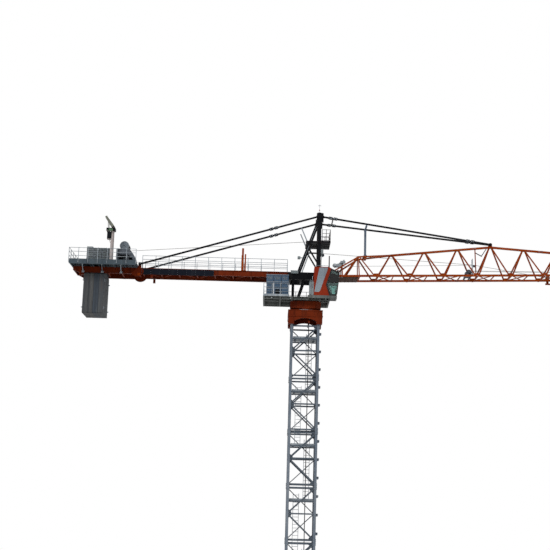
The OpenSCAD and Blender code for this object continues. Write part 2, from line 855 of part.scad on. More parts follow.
module counter_jib_outer() {
  x0 = -counter_end;
  x1 = -counter_joint;
  slabs_x1 = -slab_at + 30;
  slabs_x0 = -slab_at - slab_count * slab_pitch - 20;
  lug_x = counter_lug_x;
  knuckle_low = outer_low - 80;
  pin_out = side_y + 20 + eye_t + 20;
  color("saddlebrown") {
    for (s = [-1, 1]) {
      plate_y(
        [
          [x0, girder_top], [x0, outer_low + 110], [x0 + 180, outer_low], [x1 - 300, outer_low],
          [x1 - 210, knuckle_low + 14], [x1 - 160, knuckle_low], [x1 - 60, knuckle_low],
          [x1 - 14, knuckle_low + 24], [x1, outer_low - 10], [x1, girder_top]
        ],
        s * side_y - 12, s * side_y + 12
      );
      box(
        [x0, x1], [s * side_y - girder_w / 2, s * side_y + girder_w / 2],
        [girder_top - 18, girder_top]
      );
      box(
        [x0 + 182, x1 - 302], [s * side_y - girder_w / 2, s * side_y + girder_w / 2],
        [outer_low, outer_low + 18]
      );
      for (i = [0 : 3])
        let (x = mix(x0, x1, (i + 0.5) / 4.25))
        box(
          [x - 7, x + 7], [s * side_y - girder_w / 2 + 3, s * side_y + girder_w / 2 - 3],
          [outer_low + 17, girder_top - 17]
        );
      box(
        [slabs_x0, slabs_x1],
        [
          min(s * (slab_neck_w / 2 + 1), s * (side_y - 2)), max(s * (slab_neck_w / 2 + 1), s * (side_y - 2))
        ],
        [slab_shelf - 40, slab_shelf]
      );
      pin_y(x1 - 90, outer_low - 16, s * side_y - 50, s * side_y + 50, 46);
      plate_y(
        fillet(
          [
            [lug_x - 60, girder_top - 10], [lug_x + 60, girder_top - 10],
            [lug_x + 60, counter_lug_z + 56], [lug_x - 60, counter_lug_z + 56]
          ],
          40
        ),
        s * side_y - 20, s * side_y + 20
      );
      pin_y(
        lug_x, counter_lug_z, min(s * side_y, s * pin_out), max(s * side_y, s * pin_out), pin_r
      );
    }
    for (x = [x0 + 8, x0 + 110, -slab_at + 60, -slab_at + 620, x1 - 130])
      box([x, x + 50], [-side_y, side_y], [outer_low + 40, girder_top - 22]);
  }
}

module counter_walkway() {
  color("dimgray")
    box(
      [-counter_joint + 20, frame_back - 20], [-side_y + 60, side_y - 60],
      [walk_seat, walk_seat + walk_t]
    );
}

module counter_railings() {
  x0 = -counter_joint + 30;
  x1 = frame_back - 30;
  posts = round((x1 - x0) / rail_h);
  color("gray")
    for (s = [-1, 1])
      handrail(row([x0, s * side_y, girder_top], [x1, s * side_y, girder_top], posts), rail_h);
}

module side_panel() {
  y = -side_y - girder_w / 2 - eps;
  x0 = -counter_joint + 20;
  low = girder_low - 40;
  high = girder_top - 30;
  ribs = 8;
  color("midnightblue") {
    box([x0, x0 + panel_l], [y - 10, y], [low, high]);
    for (i = [0 : ribs])
      let (x = x0 + i * (panel_l - 16) / ribs)
      box([x, x + 16], [y - 18, y - 9], [low + 2, high - 2]);
  }
}

module winch_platform() {
  half = winch_deck_half;
  z = winch_deck_top;
  floor_t = 14;
  skirt_t = 12;
  joists = 6;
  joist_w = 44;
  beam_x0 = winch_deck_x0 + 30;
  pitch = (winch_deck_x1 - 70 - beam_x0) / joists;
  color("slategray") {
    box([winch_deck_x0, winch_deck_x1], [-half, half], [z - floor_t, z]);
    for (s = [-1, 1])
      box(
        [winch_deck_x0, winch_deck_x1],
        [min(s * half, s * (half - skirt_t)), max(s * half, s * (half - skirt_t))], [z - 130, z - 1]
      );
    for (x = [winch_deck_x0, winch_deck_x1 - skirt_t])
      box([x, x + skirt_t], [-half + 1, half - 1], [girder_top, z - 1]);
    for (i = [0 : joists])
      let (x = beam_x0 + i * pitch) {
        box([x, x + joist_w], [-half + 4, half - 4], [girder_top, z - floor_t + 1]);
        for (s = [-1, 1])
          box(
            [x + 4, x + joist_w - 4],
            [min(s * (side_y + 50), s * (half - 5)), max(s * (side_y + 50), s * (half - 5))],
            [girder_top - 26, girder_top + 2]
          );
      }
  }
}

module winch_platform_railing() {
  out = rail_d / 2 + eps;
  half = winch_deck_half + out;
  z = winch_deck_top;
  x0 = winch_deck_x0 - out;
  x1 = winch_deck_x1 - 20;
  color("silver") {
    for (s = [-1, 1])
      handrail(row([x0, s * half, z], [x1, s * half, z], 7), rail_h, -88);
    handrail(row([x0, -half, z], [x0, half, z], 5), rail_h, -88);
  }
}

module hoist_winch() {
  z = winch_deck_top;
  x1 = winch_deck_x1 - 90;
  x0 = x1 - 870;
  half = 380;
  drum_x = x1 - 430;
  drum_z = z + 262;
  reel_x = x1 - 540;
  reel_z = z + 635;
  color("dimgray") {
    difference() {
      plate_y(
        fillet(
          [
            [x0, z + 40], [x1, z + 40], [x1, z + 190], [x1 - 190, z + 508], [x0 + 110, z + 508],
            [x0, z + 370]
          ],
          36
        ),
        -half, half
      );
      plate_y(
        fillet(
          [
            [x0 + 150, z + 120], [x1 - 130, z + 120], [x1 - 130, z + 230], [x1 - 260, z + 430],
            [x0 + 150, z + 430]
          ],
          30
        ),
        -half - 1, half - 90
      );
    }
    for (s = [-1, 1])
      box([x0 - 30, x1 + 20], [s * half * 0.75 - 45, s * half * 0.75 + 45], [z, z + 46]);
    pin_y(drum_x, drum_z, -half + 70, half - 88, 92);
    for (y = [-half + 66, half - 120])
      pin_y(drum_x, drum_z, y, y + 22, 136);
    for (y = [-200, 172])
      box([reel_x - 60, reel_x + 60], [y, y + 28], [z + 500, reel_z]);
    pin_y(reel_x, reel_z, -230, 230, 128);
    for (y = [-252, 226])
      pin_y(reel_x, reel_z, y, y + 26, 185);
  }
}

module control_cabinets() {
  z = winch_deck_top;
  x0 = winch_deck_x0 + 555;
  w = 290;
  half = 420;
  h = 690;
  color("slategray")
    for (i = [0 : 2])
      let (x = x0 + i * (w + 20)) {
        box([x + 6, x + w - 6], [-half + 8, half - 8], [z, z + 50]);
        box([x, x + w], [-half, half], [z + 44, z + h]);
        box([x - 7, x + w + 7], [-half - 12, half + 12], [z + h - 4, z + h + 14]);
        for (s = [-1, 1])
          box(
            [x + 18, x + w - 18], [min(s * half, s * (half + 8)) - 1, max(s * half, s * (half + 8))],
            [z + 80, z + h - 40]
          );
      }
}

module light_mast() {
  z = winch_deck_top;
  x = winch_deck_x0 + 1580;
  y = -620;
  post_r = 54;
  post_h = 1540;
  panel_w = 520;
  panel_rise = 400;
  color("gainsboro") {
    box([x - 110, x + 110], [y - 90, y + 90], [z, z + 16]);
    for (a = [0, 90])
      translate([x, y, 0])
        rotate(a)
          plate_y([[-100, z + 14], [100, z + 14], [40, z + 130], [-40, z + 130]], -6, 6);
    rod([x, y, z + 10], [x, y, z + post_h], post_r, 12);
    box([x - 200, x - 44], [y - 60, y + 60], [z + 1010, z + 1260]);
    box([x - 230, x + 70], [y - 150, y + 150], [z + 1430, z + 1460]);
    for (s = [-1, 1])
      plate_y(
        [[x - 250, z + 1350], [x - 120, z + 1390], [x - 120, z + 1440], [x - 230, z + 1440]],
        y + s * 95 - 52, y + s * 95 + 52
      );
    bar([x - 290, y, z + post_h - 40 + panel_rise], [x + 20, y, z + post_h - 40], panel_w, 34);
  }
}

module counterweight_blocks() {
  neck = slab_neck_w / 2;
  bevel = 30;
  low = slab_top - slab_h;
  body_top = outer_low - 12;
  color("slategray")
    for (i = [0 : slab_count - 1])
      let (x = -slab_at - i * slab_pitch)
      translate([x, 0, 0])
        rotate([0, 0, 90])
          plate_y(
            [
              [-slab_w / 2 + bevel, low], [slab_w / 2 - bevel, low], [slab_w / 2, low + bevel],
              [slab_w / 2, body_top - 50], [slab_w / 2 - 60, body_top], [neck, body_top],
              [neck, slab_shelf], [neck + 50, slab_shelf], [neck + 50, slab_top - 30],
              [neck + 20, slab_top], [-neck - 20, slab_top], [-neck - 50, slab_top - 30],
              [-neck - 50, slab_shelf], [-neck, slab_shelf], [-neck, body_top],
              [-slab_w / 2 + 60, body_top], [-slab_w / 2, body_top - 50], [-slab_w / 2, low + bevel]
            ],
            0, slab_t
          );
}

module tie_bar(a, b, joints) {
  difference() {
    union() {
      bar(a, b, tie_t, tie_h);
      pin_y(a[0], a[2], a[1] - eye_t / 2, a[1] + eye_t / 2, eye_r);
      pin_y(b[0], b[2], b[1] - eye_t / 2, b[1] + eye_t / 2, eye_r);
      for (t = joints)
        let (p = mix(a, b, t), d = (b - a) / norm(b - a))
        for (s = [-1, 1])
          bar(p + d * (s * 30), p + d * (s * 170), eye_t, tie_h + 40);
    }
    pin_y(a[0], a[2], a[1] - 80, a[1] + 80, pin_r + eps);
    pin_y(b[0], b[2], b[1] - 80, b[1] + 80, pin_r + eps);
  }
}

module both_sides() {
  children();
  mirror([0, 1, 0]) children();
}

module counter_pendants() {
  color([0.08, 0.09, 0.11])
    both_sides()
      tie_bar(
        [counter_pin_x, tie_y, pin_z],
        [counter_lug_x, side_y + 20 + eps + eye_t / 2, counter_lug_z], [0.248]
      );
}

module jib_pendants() {
  spreader_x = mix(jib_pin_x, anchor_at[0], spreader_t);
  splay = (tie_y - anchor_tie_y) / (anchor_at[0] - jib_pin_x);
  spreader_y = mix(tie_y, anchor_tie_y, spreader_t) - tie_t / 2 - spreader_w / 2 * splay - eps;
  color([0.08, 0.09, 0.11])
    bar(
      [spreader_x, -spreader_y, tie_z(spreader_x)], [spreader_x, spreader_y, tie_z(spreader_x)],
      spreader_w, spreader_w
    );
  color([0.08, 0.09, 0.11])
    both_sides()
      tie_bar(
        [jib_pin_x, tie_y, pin_z], [anchor_at[0], anchor_tie_y, anchor_at[1]], [spreader_t, 0.88]
      );
}

function tie_z(x) = mix(pin_z, anchor_at[1], (x - jib_pin_x) / (anchor_at[0] - jib_pin_x));
function tie_under(x) =
  let (slope = atan2(pin_z - anchor_at[1], anchor_at[0] - jib_pin_x))
  tie_z(x) - tie_h / 2 / cos(slope) - 0.5;
function root_line(u) =
  mix(apex_h(1), apex_h(2), (u - apex_u(1) + root_shift) / (bay_l + root_shift));
function root_top(u) =
  jib_at(u, root_line(u) + root_bar_w / 2 / cos(atan2(depth_step, bay_l)) + 0.5 + eps);

module pendant_prop() {
  t = (prop_x - jib_pin_x) / (anchor_at[0] - jib_pin_x);
  half = mix(tie_y, anchor_tie_y, t) + 40;
  beam_low = tie_under(prop_x) - 66;
  foot_l = 70;
  color("gray") {
    plate_y(
      [
        root_top(prop_u - foot_l), root_top(prop_u + foot_l), root_top(prop_u + foot_l) + [0, 24],
        root_top(prop_u - foot_l) + [0, 24]
      ],
      -root_head_y + 20, root_head_y - 20
    );
    bar([prop_x, 0, root_top(prop_u)[1] + 8], [prop_x, 0, beam_low + 10], 60, 60);
    plate_y(
      [
        [prop_x - 28, beam_low], [prop_x + 28, beam_low], [prop_x + 28, tie_under(prop_x + 28)],
        [prop_x - 28, tie_under(prop_x - 28)]
      ],
      -half, half
    );
  }
}

module jib_frame() {
  translate([jib_x, 0, jib_z])
    rotate([0, -jib_rise, 0])
      children();
}

module low_bracing(k) {
  a = node_u(k - 1);
  mid = apex_u(k);
  for (s = [-1, 1])
    bar([a + 24, -s * side_y, 0], [mid, s * side_y, 0], thin_bar_w, thin_bar_w);
  bar([mid + 24, -side_y, 0], [mid + 24, side_y, 0], thin_bar_w + 4, thin_bar_w + 4);
  bar([a + 48, -side_y, 0], [a + 48, side_y, 0], thin_bar_w + 8, thin_bar_w + 8);
}

module jib_bays(k0, k1) {
  for (k = [k0 : k1]) {
    low_bracing(k);
    for (s = [-1, 1], end = [-1, 1])
      bar(
        [apex_u(k) + end * (bay_l / 2 - foot_gap), s * side_y, 0],
        [apex_u(k) + end * head_gap, 0, apex_h(k)], lacing_w, lacing_w
      );
  }
}

module top_chord(k0, k1, u0, u1) {
  pts = concat(
    [[u0, apex_line(u0)]], [for (k = [k0 : k1]) [apex_u(k), apex_h(k)]], [[u1, apex_line(u1)]]
  );
  w = top_chord_w / 2;
  plate_y(
    concat([for (p = pts) p + [0, w]], [for (i = [len(pts) - 1 : -1 : 0]) pts[i] - [0, w]]), -w, w
  );
}

function apex_line(u) =
  let (k = (u - first_node) / bay_l + 0.5, i = max(1, floor(k)), f = k - i)
  mix(apex_h(i), apex_h(i + 1), f);

module low_chords(u0, u1) {
  for (s = [-1, 1])
    box(
      [u0, u1], [s * side_y - low_chord_w / 2, s * side_y + low_chord_w / 2],
      [-low_chord_w / 2, low_chord_w / 2]
    );
}

module jib_section(k0, k1) {
  color("sienna")
    jib_frame() {
      low_chords(node_u(k0 - 1), node_u(k1));
      top_chord(k0, k1, node_u(k0 - 1), node_u(k1));
      jib_bays(k0, k1);
      if (k0 == anchor_bay)
        bar(
          [node_u(k0 - 1) + 48, 0, 0], [node_u(k0 - 1) + 48, 0, apex_line(node_u(k0 - 1) + 48)],
          lacing_w - 8, lacing_w - 8
        );
      for (end = [node_u(k0 - 1) + 16, node_u(k1) - 16], s = [-1, 1])
        box(
          [end - 16, end + 16], [s * side_y - low_chord_w * 0.62, s * side_y + low_chord_w * 0.62],
          [-low_chord_w * 0.62, low_chord_w * 0.4]
        );
      if (k0 <= anchor_bay && anchor_bay <= k1) {
        box(
          [anchor_u - 80, anchor_u + 80], [-anchor_lug_t / 2, anchor_lug_t / 2],
          [apex_h(anchor_bay), anchor_v + 50]
        );
        pin_y(anchor_u, anchor_v, -anchor_tie_y - eye_t / 2 - 20, anchor_tie_y + eye_t / 2 + 20, pin_r);
      }
    }
}

module root_side(s) {
  foot = [rake_start, s * side_y, 12];
  head = [apex_u(1), s * root_head_y, apex_h(1)];
  post = mix(foot, head, (first_node - rake_start) / (apex_u(1) - rake_start));
  bar(foot, head, root_bar_w, root_bar_w);
  bar([first_node, s * side_y, 0], post, lacing_w, lacing_w);
  bar([apex_u(1), s * side_y, 0], head, lacing_w - 6, lacing_w - 6);
  for (end = [-1, 1])
    bar(
      [apex_u(1) + end * (bay_l / 2 - foot_gap), s * side_y, 0], head + [end * head_gap, 0, 0],
      lacing_w - 2, lacing_w - 2
    );
  bar(
    head - [root_shift, 0, 0], [apex_u(2), s * (top_chord_w / 2 - 10), apex_h(2)], root_bar_w, root_bar_w
  );
}

module jib_root() {
  u1 = node_u(2);
  post_t = (first_node - rake_start) / (apex_u(1) - rake_start);
  post_y = mix(side_y, root_head_y, post_t);
  post_v = mix(12, apex_h(1), post_t);
  prop_v = apex_line(prop_u);
  lug_t = 24;
  color("sienna")
    jib_frame() {
      difference() {
        union() {
          low_chords(chord_start, u1);
          for (s = [-1, 1]) {
            pin_y(0, 0, s * side_y - lug_t, s * side_y + lug_t, root_eye_r);
            box([10, chord_start + 10], [s * side_y - lug_t, s * side_y + lug_t], [-36, 36]);
          }
        }
        for (s = [-1, 1])
          pin_y(0, 0, s * side_y - 40, s * side_y + 40, pin_r * 0.8 + eps);
      }
      low_bracing(1);
      jib_bays(2, 2);
      for (s = [-1, 1])
        root_side(s);
      bar([first_node, -post_y, post_v], [first_node, post_y, post_v], lacing_w + 4, lacing_w + 4);
      bar(
        [apex_u(1), -root_head_y, apex_h(1)], [apex_u(1), root_head_y, apex_h(1)], root_bar_w + 6,
        root_bar_w + 6
      );
      bar([300, -side_y, 0], [300, side_y, 0], 50, 50);
      box([first_node + 60, apex_u(1) - 10], [-side_y + 30, side_y - 30], [-24, -10]);
      for (s = [-1, 1])
        box(
          [u1 - 32, u1], [s * side_y - low_chord_w * 0.62, s * side_y + low_chord_w * 0.62],
          [-low_chord_w * 0.62, low_chord_w * 0.4]
        );
      box(
        [prop_u - 44, prop_u + 60], [-root_head_y + 30, root_head_y - 30],
        [prop_v - root_bar_w / 2 - 44, prop_v - root_bar_w / 2 + 10]
      );
      top_chord(2, 2, apex_u(2) - 80, u1);
    }
}

module jib_tip() {
  u0 = node_u(10);
  u1 = tip_end;
  color("sienna")
    jib_frame() {
      low_chords(u0, u1);
      plate_y(
        [
          [u0, apex_line(u0) + top_chord_w / 2], [u1, 150], [u1, 70], [u0, apex_line(u0) - top_chord_w / 2]
        ],
        -top_chord_w / 2, top_chord_w / 2
      );
      bar([u1 - 30, -side_y, 0], [u1 - 30, side_y, 0], 60, 60);
      for (s = [-1, 1])
        bar([u1 - 40, s * side_y, 0], [u1 - 10, 0, 110], lacing_w, lacing_w);
      pin_y(tip_sheave_u, tip_sheave_v, -90, 90, tip_sheave_r);
      for (s = [-1, 1])
        box([u1 - 60, u1 + 80], [s * 110 - 12, s * 110 + 12], [0, 100]);
      pin_y(tip_sheave_u, tip_sheave_v, -120, 120, 20);
    }
}

module trolley_winch() {
  u = winch_u;
  seat = low_chord_w / 2 + eps;
  color("gray")
    jib_frame() {
      for (du = [20, 216])
        box([u + du, u + du + 54], [-side_y, side_y], [seat, seat + 34]);
      box([u, u + 290], [-330, 330], [seat + 30, seat + 48]);
      for (y = [-214, 200])
        plate_y(
          [
            [u + 40, seat + 46], [u + 260, seat + 46], [u + 200, winch_drum_v + 60],
            [u + 100, winch_drum_v + 60]
          ],
          y, y + 14
        );
      pin_y(winch_drum_u, winch_drum_v, -190, 190, winch_drum_r);
      pin_y(winch_drum_u, winch_drum_v, -210, 210, 24);
      for (y = [-196, 178])
        pin_y(winch_drum_u, winch_drum_v, y, y + 18, 112);
      pin_y(winch_drum_u, winch_drum_v, 206, 318, 66);
      pin_y(winch_drum_u, winch_drum_v, -300, -206, 52);
    }
}

module jib_ropes() {
  color("black")
    jib_frame()
      for (s = [-1, 1])
        rod(
          [winch_drum_u, s * 60, winch_drum_v + winch_drum_r + rope_r + eps],
          [tip_sheave_u, s * 60, tip_sheave_v + tip_sheave_r + rope_r + eps], rope_r, 6
        );
}

module trolley() {
  gauge = 300;
  r = wheel_d / 2;
  hang = trolley_hang;
  z_mid = chord_z(trolley_x);
  color("sienna") {
    for (sx = [-1, 1], s = [-1, 1]) {
      x = trolley_x + sx * gauge;
      z = chord_z(x) + low_chord_w / 2 / cos(jib_rise) + r + eps;
      pin_y(x, z, s * side_y - 26, s * side_y + 26, r);
      pin_y(x, z, min(s * side_y, s * (side_y + 74)), max(s * side_y, s * (side_y + 74)), 22);
      box(
        [x - 50, x + 50],
        [min(s * (side_y + 52), s * (side_y + 70)), max(s * (side_y + 52), s * (side_y + 70))],
        [z_mid - hang - 60, z + 40]
      );
    }
    for (s = [-1, 1])
      box(
        [trolley_x - gauge - 90, trolley_x + gauge + 90],
        [min(s * (side_y + 30), s * (side_y + 72)), max(s * (side_y + 30), s * (side_y + 72))],
        [z_mid - hang - 60, z_mid - hang]
      );
    for (sx = [-1, 1])
      box(
        [trolley_x + sx * 160 - 30, trolley_x + sx * 160 + 30], [-side_y - 40, side_y + 40],
        [z_mid - hang - 56, z_mid - hang - 4]
      );
    for (s = [-1, 1])
      pin_y(trolley_x + s * 110, z_mid - hang - 30, s * 60 - 18, s * 60 + 18, sheave_r);
    pin_y(trolley_x - 110, z_mid - hang - 30, -100, 100, 16);
    pin_y(trolley_x + 110, z_mid - hang - 30, -100, 100, 16);
    for (s = [-1, 1])
      box([trolley_x - 170, trolley_x + 170], [s * 95 - 8, s * 95 + 8], [z_mid - hang - 62, z_mid - hang]);
  }
}

module hook_block() {
  top = chord_z(trolley_x) - trolley_hang - 30 - sheave_r - eps;
  z = top - fall_l;
  bend_r = 84;
  bill_r = 26;
  color("goldenrod") {
    for (s = [-1, 1]) {
      rod([trolley_x + s * 110, s * 60, z - 60], [trolley_x + s * 110, s * 60, top], 8, 8);
      pin_y(trolley_x + s * 60, z - 90, s * 60 - 20, s * 60 + 20, 70);
      plate_y(
        fillet(
          [
            [trolley_x - 130, z - 40], [trolley_x + 130, z - 40], [trolley_x + 130, z - 130],
            [trolley_x + 60, z - 205], [trolley_x - 60, z - 205], [trolley_x - 130, z - 130]
          ],
          40
        ),
        s * 92 - 9, s * 92 + 9
      );
    }
    box([trolley_x - 60, trolley_x + 60], [-90, 90], [z - 200, z - 150]);
    pin_z_at(trolley_x, 0, z - 300, z - 190, 30);
    translate([trolley_x, 0, z - 380])
      rotate([90, 0, 0])
        rotate(-180)
          rotate_extrude(angle = 270, $fn = 48)
            translate([bend_r, 0])
              circle(r = bill_r, $fn = 24);
    rod([trolley_x - bend_r, 0, z - 382], [trolley_x - bend_r - 12, 0, z - 330], bill_r - 4, 12);
  }
}

module electrical_cabinet() {
  x0 = -deck_back + 120;
  x1 = -700;
  y0 = -deck_edge + 45;
  y1 = -side_y - girder_w / 2 - 15;
  modules = 3;
  gap = 16;
  w = (x1 - x0 - (modules - 1) * gap) / modules;
  color("lightsteelblue") {
    box([x0 + 4, x1 - 4], [y0 + 6, y1 - 6], [deck_top, deck_top + 46]);
    for (i = [0 : modules - 1])
      let (x = x0 + i * (w + gap)) {
        box([x, x + w], [y0, y1], [deck_top + 40, deck_top + 868]);
        box([x - 5, x + w + 5], [y0 - 8, y1 + 8], [deck_top + 862, deck_top + 880]);
        box([x + 16, x + w - 16], [y0 - 7, y0 + 1], [deck_top + 70, deck_top + 830]);
      }
  }
}

module deck_railing() {
  z = deck_top;
  e = deck_edge - 18;
  color("gray") {
    handrail(row([-deck_back + 18, -e, z], [-680, -e, z], 3), rail_h);
    handrail(row([-deck_back + 18, e, z], [deck_front - 18, e, z], 6), rail_h);
    handrail(row([-deck_back + 18, -e, z], [-deck_back + 18, e, z], 3), rail_h);
  }
}

base_frame();
mast_section(base_h);  // mast_section_1
mast_section(base_h + section_h);  // mast_section_2
mast_section(base_h + 2 * section_h);  // mast_section_3
mast_section(base_h + 3 * section_h);  // mast_section_4
mast_section(base_h + 4 * section_h);  // mast_section_5
mast_section(base_h + 5 * section_h);  // mast_section_6
mast_platforms();
mast_ladders();
mast_cable();
ring_support();
slewing_ring();
turntable();
machinery_deck();
deck_railing();
electrical_cabinet();
cab_shell();
cab_glass();
cab_interior();
cab_cooler();
head_base_frame();
tower_head();
head_walkway();
head_ladder();
head_antenna();
counter_jib_inner();
counter_jib_outer();
counter_walkway();
counter_railings();
side_panel();
winch_platform();
winch_platform_railing();
hoist_winch();
control_cabinets();
light_mast();
counterweight_blocks();
counter_pendants();
jib_pendants();
pendant_prop();
jib_root();
jib_section(3, 4);  // jib_section_1
jib_section(5, 6);  // jib_section_2
jib_section(7, 8);  // jib_section_3
jib_section(9, 10);  // jib_section_4
jib_tip();
trolley_winch();
jib_ropes();
trolley();
hook_block();
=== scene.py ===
"""Looks of the tower crane: finishes, small fittings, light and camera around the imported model."""
import json
import math
from itertools import product

import bpy
from mathutils import Matrix, Vector


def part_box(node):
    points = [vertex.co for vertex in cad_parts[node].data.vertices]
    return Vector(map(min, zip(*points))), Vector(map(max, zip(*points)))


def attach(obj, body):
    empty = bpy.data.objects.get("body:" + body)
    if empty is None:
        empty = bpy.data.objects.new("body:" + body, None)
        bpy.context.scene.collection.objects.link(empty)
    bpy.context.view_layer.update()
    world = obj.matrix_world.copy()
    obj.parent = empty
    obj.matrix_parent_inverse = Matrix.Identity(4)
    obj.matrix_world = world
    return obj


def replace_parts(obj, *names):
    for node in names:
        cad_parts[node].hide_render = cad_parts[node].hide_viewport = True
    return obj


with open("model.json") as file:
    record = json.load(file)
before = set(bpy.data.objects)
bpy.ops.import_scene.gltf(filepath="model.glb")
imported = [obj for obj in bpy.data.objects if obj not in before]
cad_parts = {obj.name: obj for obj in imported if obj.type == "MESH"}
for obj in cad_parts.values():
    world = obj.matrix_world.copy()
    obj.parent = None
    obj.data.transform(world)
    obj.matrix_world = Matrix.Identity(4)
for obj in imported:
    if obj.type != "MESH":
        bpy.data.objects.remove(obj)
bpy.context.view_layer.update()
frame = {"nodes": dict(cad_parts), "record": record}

RIGHT, ALONG, UP = Vector((1, 0, 0)), Vector((0, 1, 0)), Vector((0, 0, 1))
SIDES = (-1, 1)


# Camera

CAMERA_PITCH = math.radians(11.92)
CAMERA_ROLL = math.radians(1.61)
CAMERA_SIDE = -1.25
CAMERA_AWAY = 44.635
CAMERA_BELOW_MAST_TOP = 7.345
SENSOR_WIDTH = 36.0
FOCAL_LENGTH = 73.75
FARTHEST_SEEN = 500


def make_camera():
    data = bpy.data.cameras.new("camera")
    data.sensor_width = SENSOR_WIDTH
    data.lens = FOCAL_LENGTH
    data.clip_end = FARTHEST_SEEN
    camera = bpy.data.objects.new("camera", data)
    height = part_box("mast_section_6")[1].z - CAMERA_BELOW_MAST_TOP
    camera.matrix_world = (
        Matrix.Translation((CAMERA_SIDE, -CAMERA_AWAY, height))
        @ Matrix.Rotation(math.radians(90) + CAMERA_PITCH, 4, "X")
        @ Matrix.Rotation(CAMERA_ROLL, 4, "Z")
    )
    bpy.context.scene.collection.objects.link(camera)
    bpy.context.scene.camera = camera


# Finishes


def srgb(red, green, blue):
    """Linear colour of an 8-bit screen colour."""
    def linear(value):
        value /= 255
        return value / 12.92 if value <= 0.04045 else ((value + 0.055) / 1.055) ** 2.4

    return linear(red), linear(green), linear(blue), 1.0


def add_node(tree, kind, inputs=None, **settings):
    """A new node with its settings, and its inputs linked or set."""
    made = tree.nodes.new(kind)
    for key, value in settings.items():
        setattr(made, key, value)
    for key, value in (inputs or {}).items():
        if isinstance(value, bpy.types.NodeSocket):
            tree.links.new(value, made.inputs[key])
        else:
            made.inputs[key].default_value = value
    return made


class Finish:
    """One node material, built step by step in the frame's own coordinates."""

    def __init__(self, name, roughness=0.5, metallic=0.0, coat=0.0):
        self.material = bpy.data.materials.new(name)
        self.material.use_nodes = True
        self.tree = self.material.node_tree
        self.shader = self.tree.nodes["Principled BSDF"]
        self.shader.inputs["Roughness"].default_value = roughness
        self.shader.inputs["Metallic"].default_value = metallic
        self.shader.inputs["Coat Weight"].default_value = coat
        self.coords = self.node("ShaderNodeTexCoord")["Object"]

    def node(self, kind, inputs=None, **settings):
        return add_node(self.tree, kind, inputs, **settings).outputs

    def stretched(self, stretch, shift=(0, 0, 0)):
        values = {"Vector": self.coords, "Scale": stretch, "Location": shift}
        return self.node("ShaderNodeMapping", values)["Vector"]

    def noise(self, scale, detail=4.0, stretch=(1, 1, 1), roughness=0.55, shift=(0, 0, 0)):
        place = self.stretched(stretch, shift)
        return self.node(
            "ShaderNodeTexNoise",
            {"Vector": place, "Scale": scale, "Detail": detail, "Roughness": roughness},
        )["Fac"]

    def cells(self, scale):
        place = self.stretched((1, 1, 1))
        return self.node("ShaderNodeTexVoronoi", {"Vector": place, "Scale": scale}, feature="F1")

    def span(self, value, low, high, to_low=0.0, to_high=1.0):
        return self.node(
            "ShaderNodeMapRange",
            {"Value": value, "From Min": low, "From Max": high, "To Min": to_low, "To Max": to_high},
        )["Result"]

    def math(self, operation, first, second=0.0):
        return self.node("ShaderNodeMath", {0: first, 1: second}, operation=operation)[0]

    def axis(self, name):
        return self.node("ShaderNodeSeparateXYZ", {"Vector": self.coords})[name]

    def blend(self, share, first, second):
        return self.node("ShaderNodeMix", {0: share, 6: first, 7: second}, data_type="RGBA")[2]

    def edges(self, radius):
        """1 along the edges that wear, 0 on the flats."""
        rounded_normal = self.node("ShaderNodeBevel", {"Radius": radius}, samples=4)["Normal"]
        flat = self.node("ShaderNodeNewGeometry")["Normal"]
        same = self.node("ShaderNodeVectorMath", {0: rounded_normal, 1: flat}, operation="DOT_PRODUCT")
        return self.span(same["Value"], 0.985, 0.85)

    def colour(self, value):
        self.tree.links.new(value, self.shader.inputs["Base Color"])

    def rough(self, value):
        self.tree.links.new(value, self.shader.inputs["Roughness"])

    def bump(self, height, distance, strength=1.0, below=None):
        inputs = {"Height": height, "Distance": distance, "Strength": strength}
        if below:
            inputs["Normal"] = below
        normal = self.node("ShaderNodeBump", inputs)["Normal"]
        self.tree.links.new(normal, self.shader.inputs["Normal"])
        return normal


def weathered_paint(
    name, fresh, faded, grime, roughness, streaks, chip=None, chip_share=0.6, coat=0.0, bracing_shade=None,
):
    """Painted steel: sun-faded patches, dirt runs, specks, worn edges, and painted shade on the bars between
    the legs.
    """
    finish = Finish(name, roughness, coat=coat)
    finish.shader.inputs["Specular IOR Level"].default_value = 0.07
    grime = srgb(*grime)
    patches = finish.span(finish.noise(0.9, 3), 0.36, 0.66)
    paint = finish.blend(patches, srgb(*fresh), srgb(*faded))
    runs = finish.span(finish.noise(7, 5, stretch=(1, 1, 0.09)), 0.5, 0.74, 0, streaks)
    paint = finish.blend(runs, paint, grime)
    specks = finish.span(finish.noise(48, 3), 0.6, 0.72, 0, 0.5 * streaks)
    paint = finish.blend(specks, paint, grime)
    # Painted shade: away from the legs, the bars between them are blended towards a darker colour
    if bracing_shade:
        darker, leg_side = bracing_shade
        from_x, from_y = (finish.math("ABSOLUTE", finish.axis(name)) for name in "XY")
        nearest = finish.math("MINIMUM", from_x, from_y)
        paint = finish.blend(finish.span(nearest, leg_side, leg_side + 0.02, 0.75, 0), paint, srgb(*darker))
    if chip:
        worn = finish.span(finish.noise(30, 5, shift=(3, 1, 2)), 0.47, 0.56, 0, chip_share)
        paint = finish.blend(finish.math("MULTIPLY", worn, finish.edges(0.006)), paint, srgb(*chip))
    finish.colour(paint)
    mottle = finish.noise(24, 4)
    finish.rough(finish.span(mottle, 0.3, 0.7, roughness - 0.1, roughness + 0.14))
    finish.bump(mottle, 0.0012, 0.5)
    return finish.material


